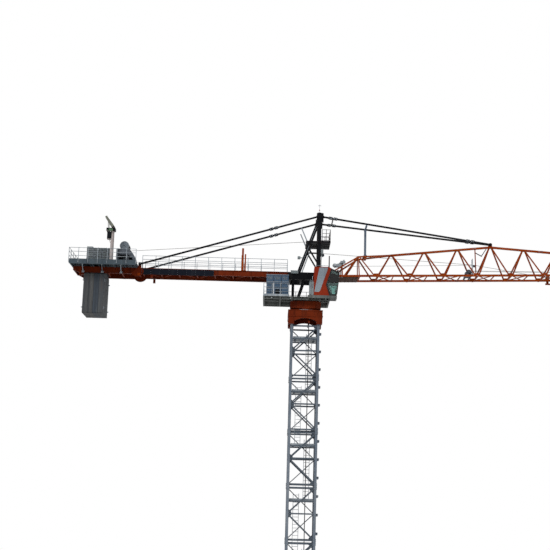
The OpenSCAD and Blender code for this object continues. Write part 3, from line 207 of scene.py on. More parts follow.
def galvanised(name, light, dark):
    """Hot-dip zinc: a spangle of small plates, white bloom and dull runs."""
    roughness = 0.42
    finish = Finish(name, roughness, metallic=0.55)
    plates = finish.node("ShaderNodeSeparateXYZ", {"Vector": finish.cells(46)["Color"]})["X"]
    zinc = finish.blend(finish.span(plates, 0, 1, 0.1, 0.7), srgb(*light), srgb(*dark))
    runs = finish.span(finish.noise(8, 4, stretch=(1, 1, 0.1)), 0.5, 0.75, 0, 0.45)
    zinc = finish.blend(runs, zinc, srgb(86, 84, 80))
    bloom = finish.span(finish.noise(3, 5, shift=(2, 5, 1)), 0.55, 0.7, 0, 0.5)
    finish.colour(finish.blend(bloom, zinc, srgb(206, 210, 212)))
    finish.rough(finish.span(plates, 0, 1, roughness - 0.1, roughness + 0.12))
    finish.bump(plates, 0.0006, 0.4)
    return finish.material


def concrete(name, first_edge, slab_pitch):
    """Cast slabs: one tint each, long rain stains, pale and rusty runs, pores and a rough face."""
    finish = Finish(name, 0.85)
    along = finish.math("SUBTRACT", first_edge, finish.axis("X"))
    slab = finish.math("FLOOR", finish.math("DIVIDE", along, slab_pitch))
    tint = finish.node("ShaderNodeTexWhiteNoise", {"W": slab}, noise_dimensions="1D")[0]
    grey = finish.blend(tint, srgb(44, 54, 65), srgb(72, 71, 69))
    runs = finish.span(finish.noise(9, 6, stretch=(1, 1, 0.05)), 0.42, 0.66)
    grey = finish.blend(finish.math("MULTIPLY", runs, 0.75), grey, srgb(26, 32, 39))
    pale = finish.span(finish.noise(6, 5, stretch=(1, 1, 0.07), shift=(4, 2, 0)), 0.56, 0.7, 0, 0.6)
    grey = finish.blend(pale, grey, srgb(100, 103, 102))
    rust = finish.span(finish.noise(5, 5, stretch=(1, 1, 0.12), shift=(9, 4, 0)), 0.6, 0.72, 0, 0.5)
    finish.colour(finish.blend(rust, grey, srgb(78, 56, 40)))
    pores = finish.bump(finish.span(finish.cells(70)["Distance"], 0.05, 0.3), 0.002, 0.5)
    finish.bump(finish.noise(20, 8, roughness=0.7), 0.006, 0.6, below=pores)
    return finish.material


def dark_glass(name):
    """Tinted panes with a thin film of dust."""
    finish = Finish(name, 0.04)
    finish.shader.inputs["Transmission Weight"].default_value = 0.92
    finish.shader.inputs["IOR"].default_value = 1.45
    patches = finish.span(finish.noise(2.2, 2), 0.35, 0.65)
    tint = finish.blend(patches, srgb(166, 206, 200), srgb(146, 188, 182))
    dust = finish.span(finish.noise(14, 5, stretch=(1, 1, 0.3)), 0.5, 0.75, 0, 0.2)
    finish.colour(finish.blend(dust, tint, srgb(150, 150, 140)))
    finish.rough(finish.span(finish.noise(9, 4), 0.45, 0.75, 0.03, 0.16))
    return finish.material


def plastic(name, base, worn, roughness=0.6):
    """Grained plastic or rubber with scuffs."""
    finish = Finish(name, roughness)
    scuffs = finish.span(finish.noise(12, 6), 0.5, 0.7, 0, 0.6)
    finish.colour(finish.blend(scuffs, srgb(*base), srgb(*worn)))
    grain = finish.cells(400)["Distance"]
    finish.rough(finish.span(grain, 0, 0.6, roughness - 0.1, roughness + 0.1))
    finish.bump(grain, 0.0006, 0.5)
    return finish.material


def bands(finish, scale, distortion, detail=2.0):
    return finish.node(
        "ShaderNodeTexWave",
        {"Vector": finish.coords, "Scale": scale, "Distortion": distortion, "Detail": detail},
        wave_type="BANDS", bands_direction="DIAGONAL",
    )["Fac"]


def wire_rope(name):
    """Greased strands that wind round the rope."""
    lay_length = 0.06
    finish = Finish(name, 0.45, metallic=0.7)
    strands = bands(finish, 1 / lay_length, 0.6)
    finish.colour(finish.blend(strands, srgb(40, 38, 36), srgb(112, 108, 100)))
    finish.rough(finish.span(strands, 0, 1, 0.6, 0.35))
    finish.bump(strands, 0.001, 0.8)
    return finish.material


def bare_steel(name):
    """Machined and greased steel."""
    finish = Finish(name, 0.35, metallic=0.9)
    turned = finish.noise(40, 4, stretch=(1, 1, 12))
    steel = finish.blend(finish.span(turned, 0.35, 0.65), srgb(120, 122, 126), srgb(160, 162, 166))
    grease = finish.span(finish.noise(6, 5), 0.5, 0.64, 0, 0.8)
    finish.colour(finish.blend(grease, steel, srgb(52, 44, 36)))
    finish.rough(finish.span(grease, 0, 0.8, 0.38, 0.6))
    finish.bump(turned, 0.0006, 0.4)
    return finish.material


def lamp_glass(name, deep, light):
    """Pressed glass with ribs and a little dust."""
    finish = Finish(name, 0.12, coat=0.6)
    ribs = bands(finish, 60.0, 0.2)
    dust = finish.span(finish.noise(30, 4), 0.5, 0.75, 0, 0.4)
    finish.colour(finish.blend(dust, finish.blend(ribs, srgb(*deep), srgb(*light)), srgb(140, 138, 130)))
    finish.rough(finish.span(dust, 0, 0.4, 0.08, 0.4))
    finish.bump(ribs, 0.001, 0.6)
    return finish.material


RUST = (88, 44, 26)
DIRT = (48, 38, 32)
SLAB_PITCH = 0.208

# Each paint: material name, fresh, faded and grimy colour, roughness, dirt runs, chipped colour and its share,
# the weight of a gloss coat, and the colour of the painted shade on the bars between the legs with the legs'
# inner distance from the middle
MAST_GREYS = (96, 106, 118), (122, 129, 137), (60, 63, 66), 0.5, 0.5, RUST, 0.7
PAINTS = {
    "mast_paint": ("mast_grey", *MAST_GREYS),
    # The mast sections' grey, with painted shade on the bars between the legs
    "section_paint": ("section_grey", *MAST_GREYS, 0.0, ((70, 78, 86), 0.47)),
    "orange_paint": ("faded_orange", (130, 46, 2), (144, 62, 12), (58, 24, 11), 0.5, 0.5, RUST, 0.8),
    "deck_paint": ("deck_grey", (86, 90, 89), (106, 108, 105), (48, 47, 44), 0.6, 0.6, RUST, 0.6),
    "cabinet_paint": ("cabinet_grey", (60, 80, 102), (78, 95, 114), (44, 54, 64), 0.45, 0.4),
    "cab_paint": ("cab_orange", (124, 31, 3), (132, 39, 7), (72, 24, 10), 0.36, 0.3, DIRT, 0.5, 0.15),
    "black_paint": ("head_black", (6, 7, 11), (18, 20, 25), (44, 42, 40), 0.45, 0.35, RUST, 0.7),
    "panel_sheet": ("panel_blue_black", (7, 10, 19), (16, 20, 30), (44, 45, 48), 0.45, 0.35),
    "winch_paint": ("winch_grey", (72, 77, 85), (92, 97, 104), (42, 41, 41), 0.5, 0.6, RUST, 0.6),
    "hook_paint": ("hook_yellow", (176, 122, 26), (190, 142, 52), (60, 46, 30), 0.45, 0.5, RUST, 0.8),
    # The orange paint darkened: painted shade on the counter-jib, ring support, turntable, stubs and knuckle
    # plates
    "shaded_orange_paint": ("orange_painted_shade", (92, 27, 4), (108, 38, 9), (42, 16, 8), 0.52, 0.6, RUST, 0.8),
    "platform_paint": ("platform_blue_grey", (62, 73, 81), (80, 90, 96), (38, 41, 43), 0.55, 0.6, RUST, 0.6),
    "plain_grey": ("plain_grey", (96, 103, 109), (116, 121, 125), (58, 60, 60), 0.5, 0.5, RUST, 0.5),
    "post_paint": ("post_white", (164, 152, 149), (184, 178, 176), (104, 88, 80), 0.5, 0.5, RUST, 0.6),
    "prop_paint": ("prop_grey", (82, 96, 112), (100, 112, 126), (50, 54, 60), 0.5, 0.4),
    "stripe_paint": ("stripe_grey_blue", (122, 130, 138), (138, 145, 151), (84, 86, 88), 0.42, 0.4),
    "lamp_shell": ("lamp_shell", (10, 12, 17), (24, 27, 32), (48, 47, 46), 0.5, 0.4),
    "pale_trim": ("pale_trim", (110, 118, 120), (132, 138, 140), (64, 66, 66), 0.5, 0.4),
    "panel_olive": ("panel_olive", (106, 108, 98), (126, 127, 117), (50, 48, 43), 0.5, 0.4),
    "reel_paint": ("reel_grey", (112, 121, 130), (128, 136, 143), (56, 58, 60), 0.5, 0.5),
    # The deck grey darkened: painted shade for the walkway's underside, also used on its hatch lid
    "deck_grey_painted_shade": ("deck_grey_painted_shade", (44, 46, 48), (60, 62, 63), (26, 26, 27), 0.6, 0.6),
    # The orange paint darkened to brown: painted shade on the jib root's underside
    "root_orange_painted_shade": ("root_orange_painted_shade", (62, 36, 26), (80, 52, 40), (34, 26, 22), 0.6, 0.6, RUST, 0.8),
}
FINISHES = {
    **{key: weathered_paint(*row) for key, row in PAINTS.items()},
    "galvanised": galvanised("zinc", (146, 154, 161), (100, 107, 113)),
    "bearing_steel": bare_steel("bearing_steel"),
    "wire_rope": wire_rope("greased_rope"),
    "concrete": concrete("cast_concrete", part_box("counterweight_blocks")[1].x + 0.004, SLAB_PITCH),
    "cab_glass": dark_glass("tinted_glass"),
    "cable_sheath": plastic("cable_rubber", (22, 23, 25), (56, 56, 56)),
    "seat_plastic": plastic("seat_cover", (26, 28, 31), (58, 58, 60), 0.7),
    "cab_dark": plastic("cab_dark_trim", (5, 6, 6), (18, 19, 19), 0.8),
    "lamp_white": lamp_glass("lamp_clear", (190, 196, 196), (160, 168, 170)),
    "lamp_green": lamp_glass("lamp_green", (22, 60, 30), (58, 104, 58)),
    "lamp_red": lamp_glass("lamp_red", (120, 18, 12), (150, 38, 24)),
}

NODE_FINISHES = {
    **{f"mast_section_{number}": "section_paint" for number in range(1, 7)},
    # These nodes take the orange paint darkened as painted shade
    **dict.fromkeys(("counter_jib_inner", "counter_jib_outer", "ring_support", "turntable"), "shaded_orange_paint"),
    "winch_platform": "platform_paint", "control_cabinets": "plain_grey", "light_mast": "post_paint",
    "cab_cooler": "pale_trim", "pendant_prop": "prop_paint",
}


def dress_frame():
    """Gives every node of the frame its own finish, or else that of its slot."""
    for part in frame["record"]["subparts"]:
        node = frame["nodes"][part["node"]]
        node.data.materials.clear()
        node.data.materials.append(FINISHES[NODE_FINISHES.get(part["node"], part["material_slot"])])


# Floor, light and backdrop

FLOOR_RADIUS = 150
FLOOR_CLEAR = 30
FLOOR_LEVEL = -0.002
KEY_STRENGTH = 1.9
FILL_STRENGTH = 0.45


def make_floor():
    """A pale disc that turns white far out, where the camera sees it."""
    mesh = bpy.data.meshes.new("floor")
    ring = [spot + UP * FLOOR_LEVEL for spot in around(96, FLOOR_RADIUS)]
    mesh.from_pydata(ring, [], [range(96)])
    floor = bpy.data.objects.new("floor", mesh)
    bpy.context.scene.collection.objects.link(floor)
    finish = Finish("pale_floor", 0.9)
    finish.colour(finish.blend(finish.noise(0.8, 6), srgb(232, 232, 230), srgb(240, 240, 239)))
    reach = finish.node("ShaderNodeVectorMath", {0: finish.coords}, operation="LENGTH")["Value"]
    white = finish.node("ShaderNodeEmission", {"Color": (1, 1, 1, 1), "Strength": 1.0})[0]
    seen = finish.node("ShaderNodeLightPath")["Is Camera Ray"]
    share = finish.math("MULTIPLY", finish.span(reach, FLOOR_CLEAR * 0.5, FLOOR_CLEAR * 1.6), seen)
    mixed = finish.node("ShaderNodeMixShader", {0: share, 1: finish.shader.outputs[0], 2: white})[0]
    finish.tree.links.new(mixed, finish.tree.nodes["Material Output"].inputs["Surface"])
    mesh.materials.append(finish.material)


def make_sun(name, direction, strength, angle):
    data = bpy.data.lights.new(name, "SUN")
    data.energy = strength
    data.angle = math.radians(angle)
    lamp = bpy.data.objects.new(name, data)
    lamp.rotation_mode = "QUATERNION"
    lamp.rotation_quaternion = Vector(direction).to_track_quat("-Z", "Y")
    bpy.context.scene.collection.objects.link(lamp)


def make_world():
    """White where it is seen or mirrored, and a soft sky that is darker below."""
    world = bpy.data.worlds.new("studio")
    bpy.context.scene.world = world
    world.use_nodes = True
    tree = world.node_tree
    tree.nodes.clear()

    def node(kind, inputs=None, **settings):
        return add_node(tree, kind, inputs, **settings).outputs

    def either(first, second):
        return node("ShaderNodeMath", {0: first, 1: second}, operation="MAXIMUM")[0]

    height = node("ShaderNodeSeparateXYZ", {"Vector": node("ShaderNodeTexCoord")["Generated"]})["Z"]
    strength = node(
        "ShaderNodeMapRange",
        {"Value": height, "From Min": -0.6, "From Max": 0.8, "To Min": 0.2, "To Max": 0.5},
    )["Result"]
    sky = node("ShaderNodeBackground", {"Color": (0.94, 0.97, 1.0, 1), "Strength": strength})[0]
    white = node("ShaderNodeBackground", {"Color": (1, 1, 1, 1), "Strength": 1.0})[0]
    path = node("ShaderNodeLightPath")
    seen = either(either(path["Is Camera Ray"], path["Is Transmission Ray"]), path["Is Glossy Ray"])
    mixed = node("ShaderNodeMixShader", {0: seen, 1: sky, 2: white})[0]
    node("ShaderNodeOutputWorld", {"Surface": mixed})


# Tools for the fittings


def across(axis):
    """An axis and two directions at right angles to it, each one unit long."""
    axis = Vector(axis).normalized()
    helper = UP if abs(axis.z) < 0.9 else RIGHT
    side = axis.cross(helper).normalized()
    return axis, side, axis.cross(side).normalized()


def around(count, radius, first=0.0, upright=False):
    """Points evenly spaced round the origin, level or upright in X and Z."""
    made = []
    for i in range(count):
        turn = 2 * math.pi * i / count + first
        a, b = radius * math.cos(turn), radius * math.sin(turn)
        made.append(Vector((a, 0, b)) if upright else Vector((a, b, 0)))
    return made


def about(middle, half):
    return middle - half, middle + half


def above(base, low, high):
    return base + low, base + high


def out_from(side, near, far):
    """The stretch of Y from near to far, on one side of the middle plane."""
    return sorted((side * near, side * far))


def at_y(outline, y):
    """An outline of X and Z, put at a Y."""
    return [(x, y, z) for x, z in outline]


def rounded(points, radius, steps=4):
    """A closed outline in X and Z with its corners rounded."""
    points = [Vector(point) for point in points]
    made = []
    for i, corner in enumerate(points):
        before, after = points[i - 1], points[(i + 1) % len(points)]
        reach = min(radius, 0.45 * (corner - before).length, 0.45 * (after - corner).length)
        start = corner + (before - corner).normalized() * reach
        end = corner + (after - corner).normalized() * reach
        for j in range(steps + 1):
            t = j / steps
            made.append(start.lerp(corner, t).lerp(corner.lerp(end, t), t))
    return made


class Piece:
    """One mesh put together from bars, tubes, plates and turned forms."""

    def __init__(self, name, slot, finish=None, body="upperworks"):
        self.name, self.slot, self.body = name, slot, body
        self.finish = FINISHES[finish or slot]
        self.points, self.faces, self.smooth = [], [], []

    def add(self, points, faces, smooth=False):
        first = len(self.points)
        self.points += [tuple(point) for point in points]
        self.faces += [tuple(first + i for i in face) for face in faces]
        self.smooth += [smooth] * len(faces)

    def prism(self, outline, sweep):
        """A flat outline moved along a vector."""
        sweep = Vector(sweep)
        low = [Vector(point) for point in outline]
        high = [point + sweep for point in low]
        count = len(low)
        normal = sum((low[i].cross(low[(i + 1) % count]) for i in range(count)), Vector())
        if normal.dot(sweep) < 0:
            low, high = low[::-1], high[::-1]
        sides = [(i, (i + 1) % count, count + (i + 1) % count, count + i) for i in range(count)]
        self.add(low + high, [tuple(range(count))[::-1], tuple(range(count, 2 * count))] + sides)

    def plate(self, outline, y, thick):
        """An outline of X and Z, as thick along Y as said."""
        self.prism(at_y(outline, y), ALONG * thick)

    def block(self, x, y, z, chamfer=0.0):
        """A box, its upright edges cut at 45 degrees where a chamfer is given."""
        (x0, x1), (y0, y1), c = x, y, chamfer
        outline = [(x0 + c, y0), (x1 - c, y0), (x1, y0 + c), (x1, y1 - c),
                   (x1 - c, y1), (x0 + c, y1), (x0, y1 - c), (x0, y0 + c)]
        if not chamfer:
            outline = [(x0, y0), (x1, y0), (x1, y1), (x0, y1)]
        self.prism([(a, b, z[0]) for a, b in outline], UP * (z[1] - z[0]))

    def bar(self, start, end, width, height):
        """A straight bar; its height lies in the upright plane through it."""
        start, end = Vector(start), Vector(end)
        run = (end - start).normalized()
        flat = run.cross(UP)
        flat = flat.normalized() if flat.length > 1e-4 else ALONG
        a, b = flat * width / 2, flat.cross(run).normalized() * height / 2
        self.prism([start - a - b, start + a - b, start + a + b, start - a + b], end - start)

    def slats(self, x, y, first, step, count, width=0.012, height=0.006):
        """Level bars along X, one over the other."""
        for i in range(count):
            z = first + i * step
            self.bar((x[0], y, z), (x[1], y, z), width, height)

    def turned(self, start, axis, profile, sides=16, smooth=True):
        """A form turned round an axis; the profile lists (distance, radius)."""
        axis, side, other = across(axis)
        start = Vector(start)
        turns = [2 * math.pi * i / sides for i in range(sides)]
        rings = [
            [start + axis * along + (side * math.cos(t) + other * math.sin(t)) * radius for t in turns]
            for along, radius in profile
        ]
        walls = [(i, (i + 1) % sides, sides + (i + 1) % sides, sides + i) for i in range(sides)]
        for lower, upper in zip(rings, rings[1:]):
            self.add(lower + upper, walls, smooth)
        self.add(rings[0], [tuple(range(sides))[::-1]])
        self.add(rings[-1], [tuple(range(sides))])

    def ring(self, outer, inner, y, thick):
        """A flat ring between two outlines of X and Z with as many points, as thick along Y as said."""
        count = len(outer)
        loops = [at_y(outline, at) for at in (y, y + thick) for outline in (outer, inner)]
        faces = []
        for i in range(count):
            j = (i + 1) % count
            for first, second in ((0, 2), (3, 1), (2, 3), (1, 0)):
                faces.append((first * count + i, first * count + j, second * count + j, second * count + i))
        corners = [Vector(point) for point in loops[0]]
        area = sum((corners[i].cross(corners[(i + 1) % count]) for i in range(count)), Vector())
        if area.y < 0:
            faces = [face[::-1] for face in faces]
        self.add([point for loop in loops for point in loop], faces)

    def rod(self, start, end, radius, sides=10):
        start, end = Vector(start), Vector(end)
        self.turned(start, end - start, [(0, radius), ((end - start).length, radius)], sides)

    def tube(self, path, radius, sides=8, closed=False):
        """A round tube along a path."""
        path = [Vector(point) for point in path]
        count = len(path)
        rings = []
        side = None
        for i, point in enumerate(path):
            before = path[i - 1] if closed or i else point
            after = path[(i + 1) % count] if closed or i < count - 1 else point
            run = (after - before).normalized()
            if side is None:
                side = across(run)[1]
            side = (side - run * side.dot(run)).normalized()
            other = run.cross(side)
            rings += [
                point + (side * math.cos(turn) + other * math.sin(turn)) * radius
                for turn in (2 * math.pi * k / sides for k in range(sides))
            ]
        links = range(count if closed else count - 1)
        faces = [
            (
                i * sides + k, i * sides + (k + 1) % sides,
                (i + 1) % count * sides + (k + 1) % sides, (i + 1) % count * sides + k,
            )
            for i in links for k in range(sides)
        ]
        self.add(rings, faces, True)
        if not closed:
            self.add(rings[:sides], [tuple(range(sides))[::-1]])
            self.add(rings[-sides:], [tuple(range(sides))])

    def bolt(self, at, axis, size):
        """A washer, a hexagon head and the end of its thread."""
        self.turned(at, axis, [(0, size * 1.5), (size * 0.22, size * 1.5)], 10, False)
        at = Vector(at) + Vector(axis).normalized() * size * 0.2
        self.turned(at, axis, [(0, size), (size * 0.7, size), (size * 0.85, size * 0.86)], 6, False)

    def sheave(self, centre, radius, width=0.03):
        """A grooved rope wheel with a thin web and a hub, its axis along Y."""
        hub, inner = radius * 0.26, radius * 0.34
        self.turned(centre - ALONG * width / 2, ALONG, [
            (0, inner), (0, radius * 0.99), (width * 0.18, radius), (width * 0.5, radius - 0.016),
            (width * 0.82, radius), (width, radius * 0.99), (width, inner),
        ], 30, False)
        self.turned(centre - ALONG * width * 0.85, ALONG, [(0, hub), (width * 1.7, hub)], 18)

    def done(self, bevel=0.0):
        mesh = bpy.data.meshes.new(self.name)
        mesh.from_pydata(self.points, [], self.faces)
        mesh.polygons.foreach_set("use_smooth", self.smooth)
        mesh.materials.append(self.finish)
        made = bpy.data.objects.new(self.name, mesh)
        bpy.context.scene.collection.objects.link(made)
        if bevel:
            cut = made.modifiers.new("bevel", "BEVEL")
            cut.width = bevel
            cut.segments = 1
            cut.limit_method = "ANGLE"
            cut.angle_limit = math.radians(50)
        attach(made, self.body)
        return made


# Places of the frame that the fittings sit on

CHORD_SIDE = 0.525
ROPE_SIDE = 0.115
DECK_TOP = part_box("machinery_deck")[1].z
GIRDER_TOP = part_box("head_base_frame")[1].z
WINCH_LOW, WINCH_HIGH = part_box("winch_platform")
WINCH_DECK = WINCH_HIGH.z
REEL = Vector((WINCH_HIGH.x - 0.63, 0, WINCH_DECK + 0.86))
CAB_NEAR, CAB_FAR = -1.25, -0.62
CAB_BACK, CAB_LENGTH, CAB_HEIGHT = 0.29, 1.01, 1.13
SECTIONS = 6
MAST_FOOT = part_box("mast_section_1")[0].z
SECTION_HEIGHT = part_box("mast_section_1")[1].z - MAST_FOOT
JIB_FOOT = Vector((0.65, 0, 14.88))
JIB_RISE = math.radians(1.8)
BAY = 1.35
FIRST_NODE = 0.8
APEX_HEIGHTS = [0.840, 0.949, 1.058, 1.167, 1.276, 1.146, 1.016, 0.886, 0.840, 0.840]
TROLLEY_X = sum(corner.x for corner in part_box("trolley")) / 2

# Tower head: the pins of the tie bars, the walkway's beam and plate, the rear pin of the tie bars
HEAD_PINS = (0.405, 0.62)
PIN_LEVEL = 17.3
TIE_SIDE = 0.5973
WALK_BAR = 16.207
WALK_PLATE = 16.27
REAR_PIN = Vector((-6.67, 0, GIRDER_TOP + 0.15))


def on_jib(u, y, v):
    """A point by its distance along the jib's bottom chord and its height over it."""
    return JIB_FOOT + Vector((
        u * math.cos(JIB_RISE) - v * math.sin(JIB_RISE), y, u * math.sin(JIB_RISE) + v * math.cos(JIB_RISE)
    ))


def node_u(k):
    return FIRST_NODE + k * BAY


def top_v(u):
    """Height of the top chord's axis over the bottom chords."""
    k = min(max((u - FIRST_NODE) / BAY - 0.5, 0), len(APEX_HEIGHTS) - 1.001)
    low = int(k)
    return APEX_HEIGHTS[low] + (APEX_HEIGHTS[low + 1] - APEX_HEIGHTS[low]) * (k - low)


def chord_level(x):
    """Height of the bottom chords' axis at an X."""
    return JIB_FOOT.z + (x - JIB_FOOT.x) * math.tan(JIB_RISE)


def in_cab(*shares, radius=0.0):
    """An outline of the cab's side, by shares of its length and height."""
    outline = [(CAB_BACK + a * CAB_LENGTH, DECK_TOP + b * CAB_HEIGHT) for a, b in shares]
    return rounded(outline, radius) if radius else outline


def rake_line(z):
    """X of the head's raking legs at a height."""
    return -0.33 + 0.745 * (z - GIRDER_TOP) / 2.1


ROPE_WHEELS_Z = chord_level(TROLLEY_X) - 0.15
REAR_WHEEL = Vector((rake_line(WALK_BAR), ROPE_SIDE, WALK_PLATE + 0.075))
FRONT_WHEEL = Vector((0.66, ROPE_SIDE, 15.88))


# Mast and base


def mast_fittings():
    """Bolts, anchors, cable clamps, brackets, second braces and board edges of the mast."""
    bolts = Piece("mast_joint_bolts", "galvanised", body="tower")
    face = 0.587
    levels = (-0.098, -0.042, 0.042, 0.098)
    for joint, side_x, side_y, level in product(range(SECTIONS + 1), SIDES, SIDES, levels):
        if (joint == 0 and level < 0) or (joint == SECTIONS and level > 0):
            continue
        z = MAST_FOOT + joint * SECTION_HEIGHT + level
        for leg in about(CHORD_SIDE, 0.03):
            bolts.bolt((side_x * face, side_y * leg, z), (side_x, 0, 0), 0.0085)
            bolts.bolt((side_x * leg, side_y * face, z), (0, side_y, 0), 0.0085)
    bolts.done()

    anchors = Piece("anchor_nuts", "galvanised", body="tower")
    foot_side, anchor_side, plate_top = 1.08, 0.14, 0.03
    threads = [(0.004 * i, 0.0155 if i % 2 else 0.0138) for i in range(24)]
    for foot_x, foot_y, x, y in product(SIDES, repeat=4):
        at = Vector((foot_x * foot_side + x * anchor_side, foot_y * foot_side + y * anchor_side, plate_top))
        anchors.turned(at, UP, [(0, 0.034), (0.006, 0.034)], 20, False)
        anchors.turned(at + UP * 0.006, UP, [(0, 0.026), (0.022, 0.026), (0.026, 0.023)], 6, False)
        anchors.turned(at + UP * 0.03, UP, [(0, 0.025), (0.02, 0.025), (0.024, 0.022)], 6, False)
        anchors.turned(at - UP * 0.001, UP, threads, 12)
    anchors.done()

    levels = [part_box("mast_platforms")[1].z - k * SECTION_HEIGHT for k in reversed(range(SECTIONS))]
    clamps = Piece("cable_clamps", "galvanised", body="tower")
    for level in levels:
        profile = [(0, 0.044), (0.008, 0.044), (0.012, 0.026), (0.05, 0.024)]
        clamps.turned((0.15, -0.25, level), UP, profile, 20)
        for y in about(-0.25, 0.036):
            clamps.block((0.138, 0.162), about(y, 0.012), above(level, 0.006, 0.042), 0.004)
            clamps.bolt((0.163, y, level + 0.028), RIGHT, 0.006)
    clamps.done()

    lugs = Piece("mast_leg_brackets", "mast_paint", body="tower")
    near = -CHORD_SIDE - 0.012
    for k, share in product(range(SECTIONS), (0.149, 0.483, 0.816)):
        z = MAST_FOOT + (k + share) * SECTION_HEIGHT
        lugs.plate([
            (0.57, z - 0.055), (0.625, z - 0.055), (0.65, z - 0.03), (0.65, z + 0.055), (0.57, z + 0.055),
        ], near, 0.024)
        lugs.block((0.57, 0.652), about(-CHORD_SIDE, 0.045), above(z, 0.03, 0.042), 0.002)
        for shift in (-0.025, 0.02):
            lugs.bolt((0.62, near, z + shift), -ALONG, 0.009)
    lugs.done(0.002)

    braces = Piece("mast_cross_braces", "mast_paint", "section_paint", "tower")
    out = CHORD_SIDE + 0.03
    for k in range(SECTIONS):
        foot = MAST_FOOT + k * SECTION_HEIGHT
        middle = foot + SECTION_HEIGHT / 2
        for end in (foot + 0.065, foot + SECTION_HEIGHT - 0.065):
            braces.bar((CHORD_SIDE, out, middle), (-CHORD_SIDE, out, end), 0.03, 0.034)
            braces.bar((out, CHORD_SIDE, middle), (out, -CHORD_SIDE, end), 0.03, 0.034)
    braces.done()

    boards = Piece("platform_edges", "galvanised", body="tower")
    hatch_x = 0.19
    for level in levels:
        hatch_x = -hatch_x
        for side in SIDES:
            edge = about(side * 0.461, 0.003)
            boards.block((-0.46, 0.46), edge, above(level, -0.004, 0.06))
            boards.block(edge, (-0.46, 0.46), above(level, -0.004, 0.06))
            boards.block(about(hatch_x + side * 0.162, 0.004), (-0.055, 0.275), above(level, -0.016, 0.012))
    boards.done()


def slewing_fittings():
    """Bolts and seal of the slewing ring, and its two drives on the deck."""
    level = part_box("slewing_ring")[0].z
    ring = Piece("ring_bolts", "bearing_steel", body="tower")
    for spot in around(44, 0.638, math.pi / 44):
        ring.bolt(spot + UP * level, UP, 0.0125)
    ring.done()

    gear = Piece("ring_seal", "cable_sheath", body="tower")
    profile = [(0, 0.601), (0.0035, 0.606), (0.0075, 0.606), (0.0105, 0.601)]
    gear.turned((0, 0, level + 0.029), UP, profile, 96)
    gear.done()

    drives = Piece("slewing_drives", "winch_paint")
    for y in (-0.42, 0.42):
        foot = Vector((-0.98, y, DECK_TOP))
        drives.turned(foot, UP, [
            (0, 0.15), (0.025, 0.15), (0.03, 0.11), (0.14, 0.112), (0.15, 0.132), (0.172, 0.132), (0.18, 0.1),
            (0.24, 0.098), (0.25, 0.118), (0.268, 0.118), (0.27, 0.086),
        ], 28)
        for spot in around(20, 0.075):
            fin = foot + spot
            drives.bar(fin + UP * 0.27, fin + UP * 0.49, 0.006, 0.03)
        profile = [(0, 0.084), (0.23, 0.084), (0.235, 0.1), (0.29, 0.1), (0.31, 0.07)]
        drives.turned(foot + UP * 0.27, UP, profile, 28)
        drives.block(about(foot.x - 0.12, 0.04), about(y, 0.05), above(DECK_TOP, 0.36, 0.45), 0.01)
        for spot in around(10, 0.131):
            drives.bolt(foot + spot + UP * 0.024, UP, 0.009)
    drives.done()


def deck_fittings():
    """Edge ribs, toe boards, lamps, bolts and the cabinet's doors on the machinery deck."""
    low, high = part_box("machinery_deck")
    ribs = Piece("deck_edge_ribs", "deck_paint")
    for side, i in product(SIDES, range(8)):
        x = low.x + 0.02 + i * 0.372
        if side > 0 or x <= 0:
            ribs.block((x, x + 0.012), out_from(side, 0.795, 0.848), (low.z + 0.012, high.z - 0.012))
    ribs.done()

    boards = Piece("deck_toe_boards", "galvanised")
    for x, y in (
        ((low.x + 0.016, -0.678), (-0.847, -0.843)), ((low.x + 0.016, 0.932), (0.843, 0.847)),
        ((low.x + 0.003, low.x + 0.007), (-0.834, 0.834)),
    ):
        boards.block(x, y, above(DECK_TOP, 0, 0.085))
    boards.done()

    lamp = Piece("deck_side_lamps", "cab_glass", "lamp_white")
    for x in (-0.61, -1.35):
        profile = [(0, 0.026), (0.012, 0.026), (0.02, 0.018), (0.023, 0.004)]
        lamp.turned((x, -0.797, high.z - 0.062), -ALONG, profile, 20)
    lamp.done()

    bolts = Piece("deck_bolts", "galvanised")
    for spot in around(16, 0.5, math.pi / 16):
        bolts.bolt(spot + UP * DECK_TOP, UP, 0.011)
    for x, side, shift in product((0.5, -0.515, -0.21), SIDES, (-0.085, 0.085)):
        bolts.bolt((x + shift, side * CHORD_SIDE, DECK_TOP), UP, 0.009)
    bolts.done()

    low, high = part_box("electrical_cabinet")
    gap = 0.016
    width = (high.x - low.x - 0.01 - 2 * gap) / 3
    doors = [low.x + 0.005 + i * (width + gap) for i in range(3)]
    near = low.y + 0.001
    trim = Piece("deck_cabinet_trim", "galvanised")
    for x in doors:
        for z in (0.14, 0.42, 0.74):
            hinge = Vector((x + 0.012, near - 0.001, DECK_TOP + z))
            trim.rod(hinge, hinge + UP * 0.05, 0.007)
        depth = (near - 0.012, near + 0.002)
        trim.block(about(x + width - 0.0375, 0.0075), depth, above(DECK_TOP, 0.4, 0.5), 0.003)
        trim.slats((x + 0.05, x + width - 0.05), near - 0.003, DECK_TOP + 0.68, 0.02, 6)
    for level in (0.02, 0.3, 0.57, 0.855):
        depth = (near - 0.008, near + 0.002)
        trim.block((low.x - 0.003, high.x + 0.003), depth, above(DECK_TOP, level, level + 0.018))
    trim.done()

    grille = Piece("deck_cabinet_grille", "cable_sheath", "lamp_shell")
    left, right = doors[1] + 0.055, doors[1] + width - 0.055
    grille.block((left + 0.005, right - 0.005), (near - 0.002, near + 0.001), above(DECK_TOP, 0.06, 0.28))
    grille.slats((left, right), near - 0.005, DECK_TOP + 0.075, 0.023, 9)
    grille.done()


# Cab, its outlines by shares of the side's length and height

